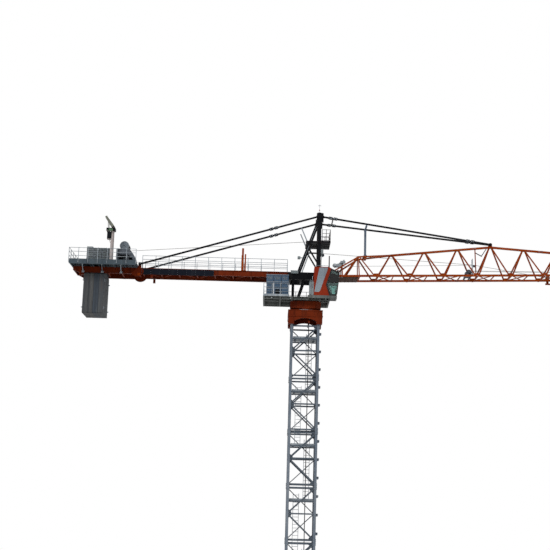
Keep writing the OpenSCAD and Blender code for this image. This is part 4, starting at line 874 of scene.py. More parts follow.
CAB_WINDOW = [(0.64, 0.045), (0.84, 0.045), (0.885, 0.1), (0.955, 0.8), (0.68, 0.915), (0.5, 0.39)]
CAB_RIM = [(0.6, 0.0), (0.885, 0.0), (0.915, 0.07), (0.997, 0.83), (0.665, 0.965), (0.465, 0.385)]
# A dark plate over the upper part of each window: painted shade of the cab's interior
CAB_WINDOW_PAINTED_SHADE = [(0.545, 0.45), (0.925, 0.45), (0.945, 0.73), (0.645, 0.8)]
CAB_STRIPE = [(0.2, 0.985), (0.545, 0.985), (0.245, 0.16), (0.2, 0.115), (0.02, 0.115)]
CAB_RAIL = [(0.555, 0.492), (0.925, 0.492), (0.928, 0.518), (0.568, 0.518)]
CAB_FRONT = [(0.91, 0.07), (1.0, 0.83)]
CAB_SILL = [(0.5, 0.03), (0.84, 0.03)]
# A dark sheet inside the far window's upper part: painted shade of the cab's interior
CAB_FAR_WINDOW_PAINTED_SHADE = [(0.5, 0.44), (0.9, 0.44), (0.925, 0.79), (0.67, 0.9)]
CAB_NEAR_LININGS = [
    [(0.05, 0.05), (0.42, 0.05), (0.36, 0.3), (0.52, 0.9), (0.05, 0.93)],
    [(0.52, 0.36), (0.6, 0.34), (0.665, 0.22), (0.72, 0.05), (0.64, 0.05)],
    [(0.84, 0.05), (0.885, 0.1), (0.91, 0.3), (0.86, 0.26), (0.8, 0.16)],
    [(0.7, 0.29), (0.84, 0.27), (0.85, 0.3), (0.7, 0.315)],
]


def cab_fittings():
    """The cab's stripe, floor pan, window seals, dark plates of painted shade over the windows, wiper, rails,
    lamps, lining, controls and cooler grille.
    """
    skins, skin = (CAB_NEAR - 0.0065, CAB_FAR + 0.001), 0.0055
    stripe = Piece("cab_stripe", "cabinet_paint", "stripe_paint")
    for y in skins:
        stripe.plate(in_cab(*CAB_STRIPE, radius=0.03), y, skin)
    stripe.done(0.001)

    pan = Piece("cab_floor_pan", "deck_paint")
    pan.block((0.93, 1.195), (CAB_NEAR + 0.01, CAB_FAR - 0.01), above(DECK_TOP, -0.09, -0.006), 0.012)
    for y in (CAB_NEAR + 0.012, CAB_FAR - 0.03):
        pan.block((0.93, 1.2), (y, y + 0.018), above(DECK_TOP, -0.105, -0.08))
    pan.done(0.003)

    seals = Piece("cab_window_seals", "cable_sheath", "cab_dark")
    for y in (CAB_NEAR - 0.001, CAB_FAR + 0.001):
        seals.tube(at_y(in_cab(*CAB_WINDOW, radius=0.046), y), 0.009, closed=True)
    for y in (CAB_NEAR - 0.003, CAB_FAR - 0.008):
        seals.plate(in_cab(*CAB_RAIL), y, 0.011)
    for y in skins:
        seals.ring(in_cab(*CAB_RIM), in_cab(*CAB_WINDOW), y, skin)
        # Dark plate of painted shade over the upper part of the window
        seals.plate(in_cab(*CAB_WINDOW_PAINTED_SHADE, radius=0.02), y + 0.001, 0.003)
    foot, head = (Vector(point) for point in in_cab(*CAB_FRONT))
    slope = (head - foot).normalized()
    outward = Vector((slope.y, -slope.x))

    def on_front(share, y, out):
        """A point of the front pane by its share of the height, its Y and how far it stands out."""
        point = foot + (head - foot) * share + outward * out
        return Vector((point.x, y, point.y))

    near, far = CAB_NEAR + 0.046, CAB_FAR - 0.046
    spots = ((0.08, near), (0.93, near), (0.93, far), (0.08, far))
    corners = [on_front(share, y, -0.002) for share, y in spots]
    seals.tube(corners, 0.009, closed=True)
    seals.bar(on_front(0.42, near, -0.006), on_front(0.42, far, -0.006), 0.016, 0.026)
    seals.done()

    wiper = Piece("cab_wiper", "cable_sheath")
    pivot, tip = on_front(0.94, -0.93, 0.004), on_front(0.58, -1.03, 0.002)
    wiper.turned(pivot, (outward.x, 0, outward.y), [(-0.012, 0.016), (0.008, 0.016), (0.012, 0.01)], 14)
    wiper.tube([pivot, pivot.lerp(tip, 0.3) + RIGHT * 0.004, tip], 0.004)
    blade = (tip - pivot).normalized() * 0.13
    wiper.bar(tip - blade, tip + blade, 0.005, 0.012)
    wiper.done()

    bars = Piece("cab_roof_rails", "galvanised")
    roof = DECK_TOP + CAB_HEIGHT
    hoop = [(0.04, -0.004), (0.04, 0.05), (0.06, 0.07), (0.54, 0.07), (0.56, 0.05), (0.56, -0.004)]
    for y in (CAB_NEAR + 0.05, CAB_FAR - 0.05):
        bars.tube([(CAB_BACK + x, y, roof + z) for x, z in hoop], 0.008, 10)
        bars.rod((CAB_BACK + 0.3, y, roof - 0.004), (CAB_BACK + 0.3, y, roof + 0.07), 0.007)
    grip = [(0.002, 0.6076, 0.35), (-0.04, 0.61, 0.38), (-0.04, 0.61, 0.86), (0.002, 0.6076, 0.89)]
    bars.tube([(CAB_BACK + x, CAB_NEAR + y, DECK_TOP + z) for x, y, z in grip], 0.009, 10)
    bars.done()

    post = Piece("cab_roof_post", "black_paint")
    at = Vector((0.9, -0.74, roof))
    profile = [(0, 0.04), (0.018, 0.04), (0.024, 0.024), (0.58, 0.02), (0.59, 0.008)]
    post.turned(at - UP * 0.012, UP, profile, 16)
    for spot in around(4, 0.03, math.pi / 4):
        post.bolt(at + spot + UP * 0.005, UP, 0.004)
    post.done()

    lamps = Piece("cab_work_lamps", "winch_paint", "lamp_shell")
    lens = Piece("cab_lamp_lenses", "cab_glass", "lamp_white")
    (x, z), look = in_cab((0.9, 0.868))[0], Vector((0.86, 0, -0.5)).normalized()
    for y in (CAB_NEAR + 0.09, CAB_FAR - 0.09):
        at = Vector((x, y, z + 0.05))
        lamps.turned(at, look, [(0, 0.02), (0.02, 0.038), (0.05, 0.045), (0.056, 0.045)], 20)
        lamps.rod(at, at - UP * 0.075, 0.008)
        lens.turned(at + look * 0.0565, look, [(0, 0.042), (0.005, 0.036), (0.008, 0.012)], 20)
    lamps.done()
    lens.done()

    inside = Piece("cab_lining", "seat_plastic", "cab_dark")
    # Dark sheet of painted shade behind the far window's upper part
    inside.plate(in_cab(*CAB_FAR_WINDOW_PAINTED_SHADE), CAB_FAR - 0.04, 0.005)
    for outline in CAB_NEAR_LININGS:
        inside.plate(in_cab(*outline), CAB_NEAR + 0.033, 0.004)
    inside.bar(on_front(0.86, CAB_NEAR + 0.06, -0.05), on_front(0.86, CAB_FAR - 0.06, -0.05), 0.012, 0.11)
    for y in (CAB_NEAR + 0.05, CAB_FAR - 0.05):
        inside.bar(*at_y(in_cab(*CAB_SILL), y), 0.02, 0.02)
    inside.done()

    controls = Piece("cab_controls", "seat_plastic", "cab_dark")
    seat = Vector((CAB_BACK + 0.38 * CAB_LENGTH, (CAB_NEAR + CAB_FAR) / 2, DECK_TOP))
    for side in SIDES:
        foot = seat + Vector((0.1, side * 0.175, 0.355))
        controls.turned(foot, UP, [
            (0, 0.03), (0.012, 0.03), (0.03, 0.014), (0.08, 0.01), (0.085, 0.018), (0.13, 0.02), (0.145, 0.01),
        ], 14)
        for button in range(3):
            spot = foot + Vector((-0.05 - button * 0.022, side * 0.012, 0))
            controls.turned(spot, UP, [(0, 0.007), (0.006, 0.007), (0.008, 0.004)], 10)
    screen = seat + Vector((0.33, 0.19, 0.5))
    controls.block(about(screen.x, 0.012), about(screen.y, 0.07), about(screen.z, 0.05), 0.004)
    controls.rod(screen - UP * 0.44, screen, 0.01)
    for y in (-0.05, 0.05):
        controls.bar(seat + Vector((0.36, y, 0.05)), seat + Vector((0.42, y, 0.075)), 0.06, 0.01)
    bends = [seat + Vector(point) for point in ((-0.125, 0, 0.6), (-0.13, 0, 0.68), (-0.125, 0, 0.72))]
    path = [a.lerp(b, share) for a, b in zip(bends, bends[1:]) for share in (0, 1 / 3, 2 / 3)]
    controls.tube(path + bends[-1:], 0.012)
    controls.block((seat.x - 0.16, seat.x - 0.1), about(seat.y, 0.09), above(DECK_TOP, 0.665, 0.77), 0.02)
    controls.done(0.004)

    grille = Piece("cooler_grille", "galvanised")
    low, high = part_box("cab_cooler")
    hub = Vector(((low.x + high.x) / 2 + 0.005, low.y - 0.003, low.z + 0.36))
    for radius in (0.022, 0.04, 0.058, 0.076):
        grille.tube([hub + spot for spot in around(24, radius, upright=True)], 0.003, 6, closed=True)
    for reach in around(8, 0.08, upright=True)[:4]:
        grille.rod(hub - reach, hub + reach, 0.0035)
    left, right = low.x + 0.03, CAB_BACK - 0.03
    hoop = [(left, high.z - 0.002), (left, high.z + 0.03), (right, high.z + 0.03), (right, high.z - 0.002)]
    for y in (low.y + 0.02, high.y - 0.02):
        grille.tube(at_y(hoop, y), 0.007)
    grille.done()


# Tower head and tie bars


def head_fittings():
    """The head's pins, caps, pale strips of painted highlight on the raking legs, rope wheels, walkway boards,
    lamps and wind gauge; the prop's sleeve.
    """
    anchor = on_jib(node_u(4.5), 0, 1.388)
    caps = Piece("head_pin_caps", "black_paint")
    pins = [(x, 0.6275, PIN_LEVEL) for x in HEAD_PINS]
    pins += [(REAR_PIN.x, 0.609, REAR_PIN.z), (anchor.x, 0.0845, anchor.z)]
    for (x, y, z), side in product(pins, SIDES):
        caps.turned((x, side * y, z), (0, side, 0), [(0, 0.04), (0.006, 0.04), (0.009, 0.026)], 22)
        caps.bolt((x, side * (y + 0.006), z), (0, side, 0), 0.009)
    caps.done()

    joints = Piece("tie_bar_pins", "galvanised")
    for start, end, shares in (
        ((HEAD_PINS[0], TIE_SIDE, PIN_LEVEL), (REAR_PIN.x, 0.5673, REAR_PIN.z), (0.248,)),
        ((HEAD_PINS[1], TIE_SIDE, PIN_LEVEL), (anchor.x, 0.0423, anchor.z), (0.06, 0.88)),
    ):
        start, end = Vector(start), Vector(end)
        run = (end - start).normalized()
        for share, along, flip, out in product(shares, (-0.13, -0.06, 0.06, 0.13), SIDES, SIDES):
            x, y, z = start.lerp(end, share) + run * along
            profile = [(0, 0.021), (0.005, 0.021), (0.008, 0.015)]
            joints.turned((x, y * flip + out * 0.0215, z), (0, out, 0), profile, 14)
    joints.done()

    cheeks = Piece("head_cheek_caps", "black_paint")
    top = PIN_LEVEL + 0.16
    left, right = HEAD_PINS[0] - 0.03, HEAD_PINS[1] + 0.03
    for side in SIDES:
        y = side * CHORD_SIDE - 0.05
        cheeks.plate([
            (left, top - 0.006), (right, top - 0.006), (right, top + 0.004),
            (0.5, top + 0.035), (0.45, top + 0.035),
            (left, top + 0.006),
        ], y, 0.1)
        cheeks.block((0.44, 0.56), (y - 0.012, y + 0.001), above(PIN_LEVEL, -0.17, -0.09))
    cheeks.done(0.006)

    # Painted highlight: pale strips along the outer faces of the raking legs stand in for their lit side
    leg_highlights = Piece("head_leg_painted_highlights", "deck_paint", "plain_grey")
    stretches = (GIRDER_TOP + 0.14, WALK_BAR - 0.1), (WALK_BAR + 0.12, PIN_LEVEL - 0.42)
    for side, (low, high) in product(SIDES, stretches):
        foot, head = rake_line(low) + 0.012, rake_line(high) + 0.012
        outline = [(foot, low), (foot + 0.02, low), (head + 0.02, high), (head, high)]
        leg_highlights.plate(outline, side * (CHORD_SIDE + 0.0455), side * 0.002)
    leg_highlights.done()

    wheels = Piece("head_rope_wheels", "winch_paint")
    rear, front = REAR_WHEEL, FRONT_WHEEL
    wheels.sheave(rear, 0.085)
    wheels.sheave(front, 0.075)
    for y in (ROPE_SIDE - 0.055, ROPE_SIDE + 0.045):
        wheels.plate([
            (rear.x - 0.06, WALK_PLATE), (rear.x + 0.06, WALK_PLATE), (rear.x + 0.03, rear.z + 0.03),
            (rear.x - 0.03, rear.z + 0.03),
        ], y, 0.01)
        wheels.plate([
            (0.5, WALK_BAR - 0.02), (0.56, WALK_BAR + 0.025), (front.x + 0.04, front.z + 0.02),
            (front.x + 0.02, front.z - 0.04), (front.x - 0.06, front.z - 0.02),
        ], y, 0.01)
    for wheel in (rear, front):
        wheels.rod(wheel - ALONG * 0.062, wheel + ALONG * 0.062, 0.014)
    wheels.done()

    boards = Piece("walkway_toe_boards", "black_paint")
    half = CHORD_SIDE + 0.066
    low_edge, high_edge = above(WALK_PLATE, -0.04, 0.03), above(WALK_PLATE, -0.04, 0.05)
    for side in SIDES:
        face = out_from(side, half - 0.008, half - 0.001)
        boards.block((-0.04, 0.55), face, low_edge)
        boards.block((0.55, 0.95), face, high_edge)
    boards.block((0.942, 0.949), about(0, half - 0.002), high_edge)
    boards.done()

    # The walkway's underside in deck grey darkened as painted shade
    soffit = Piece("walkway_soffit", "deck_paint", "deck_grey_painted_shade")
    reach = half - 0.03
    for x in ((0.1, 0.24), (0.6, 0.93)):
        soffit.block(x, about(0, reach), above(WALK_PLATE, -0.036, -0.031), 0.002)
        for y in (-reach / 2, 0, reach / 2):
            soffit.block(x, about(y, 0.008), above(WALK_PLATE, -0.05, -0.035))
    soffit.done()

    # The hatch lid takes the same deck grey darkened as painted shade
    lid = Piece("walkway_hatch_lid", "deck_paint", "deck_grey_painted_shade")
    top = WALK_PLATE + 0.009
    lid.block((0.238, 0.432), (-0.27, 0.27), (top - 0.008, top), 0.003)
    for y in (-0.2, 0.0, 0.2):
        lid.block((0.25, 0.42), about(y, 0.01), (top, top + 0.008), 0.002)
    for y in (-0.18, 0.18):
        lid.rod((0.236, y - 0.03, top), (0.236, y + 0.03, top), 0.008)
    lid.tube([(0.36, y, top + z) for y, z in ((-0.04, 0), (-0.04, 0.026), (0.04, 0.026), (0.04, 0))], 0.005)
    lid.done()

    low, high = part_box("pendant_prop")
    height = high.z - low.z
    prop = Piece("prop_sleeve", "panel_sheet", "prop_paint")
    prop.turned(((low.x + high.x) / 2, 0, low.z + 0.05), UP, [
        (0, 0.028), (0.006, 0.042), (0.024, 0.042), (0.03, 0.032), (height - 0.2, 0.032),
        (height - 0.19, 0.024),
    ], 24)
    prop.done()

    boxes = Piece("head_side_boxes", "cabinet_paint", "pale_trim")
    near = -CHORD_SIDE
    boxes.block((-0.62, -0.32), (near - 0.115, near - 0.0455), above(GIRDER_TOP, -0.07, 0.045), 0.01)
    boxes.block((-0.635, -0.305), (near - 0.125, near - 0.0455), above(GIRDER_TOP, 0.04, 0.052), 0.01)
    boxes.block((0.571, 0.66), (near - 0.06, near + 0.03), (15.78, 15.97), 0.012)
    boxes.block((0.5715, 0.6), about(near, 0.02), (15.7, 15.79))
    lead = [(0.612, 15.782), (0.612, 15.7), (0.6, 15.6), (0.588, 15.5), (0.588, 15.06)]
    boxes.tube(at_y(lead, near - 0.015), 0.012, 10)
    lamp = Vector((-0.31, near, 15.6))
    boxes.bar(lamp + RIGHT * 0.05, (rake_line(lamp.z) - 0.044, near, lamp.z), 0.03, 0.03)
    boxes.block((lamp.x - 0.05, lamp.x + 0.06), about(near, 0.07), about(lamp.z, 0.05), 0.012)
    boxes.done(0.003)

    glass = Piece("head_lamp_glass", "cab_glass", "lamp_white")
    glass.block((lamp.x - 0.058, lamp.x - 0.049), about(near, 0.06), about(lamp.z, 0.04), 0.002)
    glass.block((0.659, 0.665), (near - 0.045, near + 0.015), (15.8, 15.95), 0.002)
    glass.done()

    mast = Piece("wind_gauge", "galvanised")
    hub = Vector((0.5, 0, 17.94))
    mast.turned(hub - UP * 0.02, UP, [(0, 0.01), (0.03, 0.012), (0.036, 0.006)], 12)
    for arm in around(3, 1, 0.4):
        side = UP.cross(arm)
        mast.rod(hub, hub + arm * 0.05, 0.003, 6)
        cup = hub + arm * 0.055 - side * 0.012
        mast.turned(cup, side, [(0, 0.004), (0.006, 0.012), (0.014, 0.016), (0.018, 0.0165)], 12)
    mast.done()

    beacon = Piece("head_beacon", "cab_glass", "lamp_red")
    beacon.turned((0.5, 0, 17.72), UP, [(0, 0.022), (0.01, 0.024), (0.04, 0.02), (0.05, 0.008)], 18)
    beacon.done()


# Counter-jib

KNUCKLE = Vector((-6.69, 0, 14.734))


def counter_jib_fittings():
    """The counter-jib's pins, struts, stubs, knuckles, marker bars, cables and rivets; the slabs' rods."""
    pins = Piece("knuckle_pins", "orange_paint")
    for side in SIDES:
        at = KNUCKLE + ALONG * side * (CHORD_SIDE + 0.05)
        pins.turned(at, (0, side, 0), [(0, 0.062), (0.008, 0.062), (0.012, 0.05)], 26)
        for spot in around(6, 0.045, upright=True):
            pins.bolt(at + spot + ALONG * side * 0.008, (0, side, 0), 0.006)
        for dx, z in product((-0.3, -0.24, 0.05, 0.11), (14.82, 14.9)):
            face = 0.012 if dx < 0 else 0.01
            pins.bolt((KNUCKLE.x + dx, side * (CHORD_SIDE + face), z), (0, side, 0), 0.009)
    pins.done()

    struts = Piece("platform_struts", "galvanised")
    foot_z = 14.79
    for x, side in product((-8.87, -8.1, -7.35), SIDES):
        struts.bar((x, side * 1.17, WINCH_DECK - 0.125), (x - 0.05, side * 0.57, foot_z), 0.03, 0.03)
        struts.block(about(x, 0.03), out_from(side, 1.1, 1.187), above(WINCH_DECK, -0.135, -0.1))
        struts.block((x - 0.1, x), out_from(side, 0.538, 0.6), about(foot_z, 0.04))
        for dx in (-0.075, -0.025):
            struts.bolt((x + dx, side * 0.6, foot_z), (0, side, 0), 0.007)
    struts.done()

    # Stubs in the orange paint darkened as painted shade
    stubs = Piece("counter_jib_stubs", "orange_paint", "shaded_orange_paint")
    bracket = [
        (-9.33, GIRDER_TOP), (-9.33, 14.84), (-9.28, 14.84), (-9.09, 14.75), (-8.85, 14.74), (-8.85, 14.82),
        (-9.0, GIRDER_TOP),
    ]
    boss = rounded([(-9.01, 14.68), (-8.86, 14.68), (-8.86, 14.82), (-9.01, 14.82)], 0.02)
    for side in SIDES:
        y = side * CHORD_SIDE
        stubs.block((-6.22, -6.13), about(y, 0.035), (14.6, 14.76), 0.008)
        stubs.block((-9.08, -9.005), about(y, 0.035), (14.63, 14.8), 0.008)
        stubs.plate(bracket, y - 0.045, 0.09)
        stubs.plate(boss, y - side * 0.06 - 0.04, 0.12)
        for x, z in ((-9.27, 14.88), (-9.27, 14.94), (-9.1, 14.81), (-9.1, 14.92)):
            stubs.bolt((x, y + side * 0.045, z), (0, side, 0), 0.008)
    stubs.bar((-9.3, -CHORD_SIDE, 14.9), (-9.3, CHORD_SIDE, 14.9), 0.05, 0.12)
    stubs.done(0.003)

    # Knuckle plates in the orange paint darkened as painted shade
    knuckles = Piece("knuckle_plates", "orange_paint", "shaded_orange_paint")
    sweep = [math.radians(200 + 140 * i / 12) for i in range(13)]
    outline = [(-6.5, 14.9), (-6.62, 15.03), (-6.79, 15.03), (-6.86, 14.9)]
    outline += [(-6.757 + 0.262 * math.cos(t), 14.87 + 0.225 * math.sin(t)) for t in sweep]
    for side in SIDES:
        knuckles.plate(outline, side * (CHORD_SIDE + 0.052) - 0.006, 0.012)
    knuckles.done(0.002)

    markers = Piece("marker_bars", "orange_paint")
    y = -CHORD_SIDE - 0.027
    for x, height, wide in ((-2.56, 0.92, 0.04), (-2.455, 0.68, 0.028)):
        markers.block(about(x, wide), about(y, 0.012), above(GIRDER_TOP, -0.002, height), 0.004)
        markers.block(about(x, wide + 0.02), about(y, 0.03), above(GIRDER_TOP, -0.002, 0.008))
    markers.done()

    cables = Piece("counter_jib_cables", "cable_sheath")
    low, high = GIRDER_TOP + 0.006, WINCH_DECK + 0.008
    run = [(-2.4, low), (-4.6, low), (-6.5, low), (-6.7, GIRDER_TOP + 0.04), (-6.78, WINCH_DECK + 0.009)]
    run += [(x, high) for x in (-6.95, -7.9, -8.2)]
    for i, y in enumerate((-0.448, -0.43, -0.412)):
        cables.tube(at_y([(-0.8 - 0.02 * i, low)] + run, y), 0.008)
    cables.done()

    clips = Piece("cable_clips", "galvanised")
    for i in range(12):
        x = -1.0 - i * 0.48
        clips.block((x, x + 0.02), (-0.463, -0.397), above(GIRDER_TOP, -0.002, 0.018), 0.002)
    clips.done()

    low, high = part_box("side_panel")
    rivets = Piece("side_panel_rivets", "galvanised")
    for i, z in product(range(9), (low.z + 0.03, (low.z + high.z) / 2, high.z - 0.03)):
        x = low.x + 0.008 + i * (high.x - low.x - 0.016) / 8
        rivets.turned((x, low.y, z), -ALONG, [(0, 0.007), (0.002, 0.006), (0.004, 0.003)], 10)
    rivets.done()

    slabs = Piece("slab_tie_rods", "galvanised")
    back, front = (corner.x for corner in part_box("counterweight_blocks"))
    for y, z, (x, out) in product((-0.52, 0.52), (13.35, 14.45), ((front, 1), (back, -1))):
        slabs.block(sorted((x, x + out * 0.012)), about(y, 0.05), about(z, 0.05))
        nut, end = [(0, 0.026), (0.022, 0.026), (0.026, 0.022)], [(0, 0.015), (0.03, 0.015), (0.034, 0.012)]
        slabs.turned((x + out * 0.012, y, z), (out, 0, 0), nut, 6, False)
        slabs.turned((x + out * 0.03, y, z), (out, 0, 0), end, 12)
    slabs.done()

    eyes = Piece("slab_lifting_eyes", "galvanised")
    arc = [math.pi * k / 10 for k in range(11)]
    for i, y in product(range(4), (-0.53, 0.53)):
        x, z = front - 0.1 - i * SLAB_PITCH, 14.737
        eyes.tube([(x, y + 0.03 * math.cos(t), z + 0.03 * math.sin(t)) for t in arc], 0.007)
    eyes.done()


# Winch platform


def winch_fittings():
    """The hoist winch's body with its drum and reel, its rope, motor and trim."""
    z = WINCH_DECK
    x1 = WINCH_HIGH.x - 0.15
    x0 = x1 - 0.78
    half = 0.38
    drum = Vector((x1 - 0.4, 0, z + 0.28))

    body = Piece("winch_body", "winch_paint")
    outer = rounded([
        (x0, z + 0.04), (x1, z + 0.04), (x1, z + 0.22), (x1 - 0.05, z + 0.45), (x1 - 0.25, z + 0.71),
        (x0, z + 0.71),
    ], 0.05)
    inner = rounded([
        (x0 + 0.09, z + 0.1), (x1 - 0.09, z + 0.1), (x1 - 0.09, z + 0.2), (x1 - 0.12, z + 0.34),
        (x1 - 0.3, z + 0.47), (x0 + 0.09, z + 0.47),
    ], 0.03)
    body.ring(outer, inner, -half, 0.66)
    body.plate(outer, half - 0.1, 0.1)
    body.bar((x1 - 0.34, -half + 0.02, z + 0.48), (x1 - 0.24, -half + 0.02, z + 0.09), 0.03, 0.05)
    for y in (-0.75 * half, 0.75 * half):
        for wide, low, high in ((0.045, 0, 0.014), (0.008, 0.014, 0.034), (0.045, 0.034, 0.046)):
            body.block((x0 - 0.05, x1 + 0.02), about(y, wide), above(z, low, high))
    stand = rounded([
        (REEL.x - 0.17, z + 0.69), (REEL.x + 0.17, z + 0.69), (REEL.x + 0.07, REEL.z + 0.05),
        (REEL.x - 0.07, REEL.z + 0.05),
    ], 0.04)
    for y in (-0.2, 0.172):
        body.plate(stand, y, 0.028)
    body.turned(drum - ALONG * 0.15, ALONG, [(0, 0.05), (0.01, 0.092), (0.44, 0.092), (0.45, 0.05)], 32)
    for y in (-0.15, 0.264):
        body.turned(drum + ALONG * y, ALONG, [(0, 0.128), (0.003, 0.136), (0.019, 0.136), (0.022, 0.128)], 36)
    for y in (-0.252, 0.226):
        body.turned(REEL + ALONG * y, ALONG, [(0, 0.182), (0.004, 0.188), (0.022, 0.188), (0.026, 0.182)], 48)
    body.turned(REEL - ALONG * 0.28, ALONG, [(0, 0.03), (0.56, 0.03)], 18)
    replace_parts(body.done(0.006), "hoist_winch")

    rope = Piece("winch_rope_windings", "wire_rope")
    for centre, start, end, radius in ((drum, -0.125, 0.265, 0.092), (REEL, -0.222, 0.222, 0.128)):
        steps = int((end - start) / 0.0145) * 4
        profile = [
            ((end - start) * i / steps, radius + 0.008 - 0.006 * math.cos(math.pi * i / 2))
            for i in range(steps + 1)
        ]
        rope.turned(centre + ALONG * start, ALONG, profile, 40)
    rope.done()

    motor = Piece("winch_motor", "winch_paint")
    at = Vector((x0 + 0.3, 0.38, z + 0.24))
    motor.turned(at, ALONG, [(0, 0.16), (0.03, 0.16), (0.04, 0.125), (0.1, 0.125)], 32)
    shell = [(0, 0.112), (0.38, 0.112), (0.385, 0.13), (0.45, 0.13), (0.47, 0.1)]
    motor.turned(at + ALONG * 0.1, ALONG, shell, 32)
    for out in around(26, 1, upright=True):
        side = out.cross(ALONG) * 0.003
        root, edge = at + ALONG * 0.12 + out * 0.105, at + ALONG * 0.12 + out * 0.132
        motor.prism([root - side, edge - side, edge + side, root + side], ALONG * 0.34)
    for y in ((0.5, 0.56), (0.72, 0.78)):
        motor.block(about(at.x, 0.13), y, (z, z + 0.14), 0.01)
    motor.block(about(at.x, 0.06), (0.58, 0.7), above(at.z, 0.1, 0.19), 0.01)
    gear = Vector((x1 - 0.2, 0.38, z + 0.2))
    motor.turned(gear, ALONG, [(0, 0.13), (0.12, 0.13), (0.14, 0.1), (0.2, 0.1), (0.21, 0.07)], 28)
    motor.block(about(gear.x, 0.1), (0.4, 0.52), (z, z + 0.1), 0.01)
    motor.done(0.002)

    trim = Piece("winch_trim", "galvanised", "reel_paint")
    for y in (-0.2535, 0.2525):
        trim.turned(REEL + ALONG * y, ALONG, [(0, 0.17), (0.001, 0.17)], 48)
    for side in SIDES:
        end, out = REEL + ALONG * side * 0.252, (0, side, 0)
        trim.turned(end, out, [(0, 0.186), (0.004, 0.187), (0.008, 0.179), (0.008, 0.171)], 48)
        trim.turned(end, out, [(0, 0.05), (0.02, 0.05), (0.026, 0.035)], 22)
        for spot in around(8, 0.115, upright=True):
            trim.bolt(end + spot + ALONG * side * 0.0005, out, 0.008)
    for x, y in product((x0 + 0.05, x0 + 0.25, x1 - 0.25, x1 - 0.06), (-0.315, -0.255, 0.315)):
        trim.bolt((x, y, z + 0.0455), UP, 0.01)
    spots = [(x0 + 0.05 + (i + 0.5) / 6 * (x1 - x0 - 0.36), z + 0.59) for i in range(6)]
    for i in range(4):
        spots += [(x0 + 0.05, z + 0.08 + i * 0.09), (x1 - 0.05, z + 0.07 + i * 0.035)]
    for spot in at_y(spots, -half):
        trim.bolt(spot, -ALONG, 0.007)
    trim.done()


def cabinet_fittings():
    """Doors, louvres, hinges and eyes of the control cabinets, and the boards of the winch platform."""
    z, cabinet_side = WINCH_DECK, 0.428
    doors = Piece("cabinet_doors", "winch_paint", "pale_trim")
    dark = Piece("cabinet_louvres", "cable_sheath")
    arch = [math.pi * k / 8 for k in range(9)]
    for i in range(3):
        x = WINCH_LOW.x + 0.555 + i * 0.31
        for side in SIDES:
            face = side * cabinet_side
            plate = out_from(side, cabinet_side, cabinet_side + 0.004)
            slits = out_from(side, cabinet_side, cabinet_side + 0.0015)
            left, right = x + 0.04, x + 0.25
            for level in (0.12, 0.3, 0.48):
                dark.block((left, right), slits, above(z, level, level + 0.11))
                doors.slats((left, right), face + side * 0.004, z + level + 0.012, 0.018, 6, 0.009, 0.005)
                for low in (level - 0.014, level + 0.11):
                    doors.block((left - 0.012, right + 0.012), plate, above(z, low, low + 0.014))
            handle = (x + 0.262, x + 0.27), out_from(side, cabinet_side, cabinet_side + 0.014)
            doors.block(*handle, above(z, 0.36, 0.46), 0.002)
            for level in (0.14, 0.62):
                hinge = Vector((x + 0.02, face + side * 0.003, z + level))
                doors.rod(hinge, hinge + UP * 0.045, 0.006)
            for level in (0.02, 0.25, 0.44, 0.6, 0.67):
                strip = (x - 0.005, x + 0.3), out_from(side, cabinet_side + 0.002, cabinet_side + 0.014)
                doors.block(*strip, above(z, level, level + 0.022), 0.002)
        for y in (-0.4, 0.4):
            at = Vector((x + 0.145, y, z + 0.703))
            doors.tube([at + Vector((0, 0.018 * math.cos(t), 0.024 * math.sin(t))) for t in arch], 0.005)
    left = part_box("control_cabinets")[0].x
    doors.block((left + 0.002, left + 0.24), (-0.4, 0.4), above(z, 0.7, 0.755), 0.01)
    doors.done()
    dark.done()

    boards = Piece("winch_toe_boards", "deck_paint", "platform_paint")
    left, edge = WINCH_LOW.x + 0.001, 1.2
    for side in SIDES:
        boards.block((left, WINCH_HIGH.x - 0.02), out_from(side, edge - 0.004, edge - 0.001), (z, z + 0.07))
        for i in range(8):
            x = WINCH_LOW.x + 0.15 + i * 0.33
            boards.block((x, x + 0.014), out_from(side, 0.62, edge - 0.012), above(z, -0.135, -0.02))
    boards.block((left, left + 0.003), about(0, edge - 0.004), (z, z + 0.07))
    boards.done()


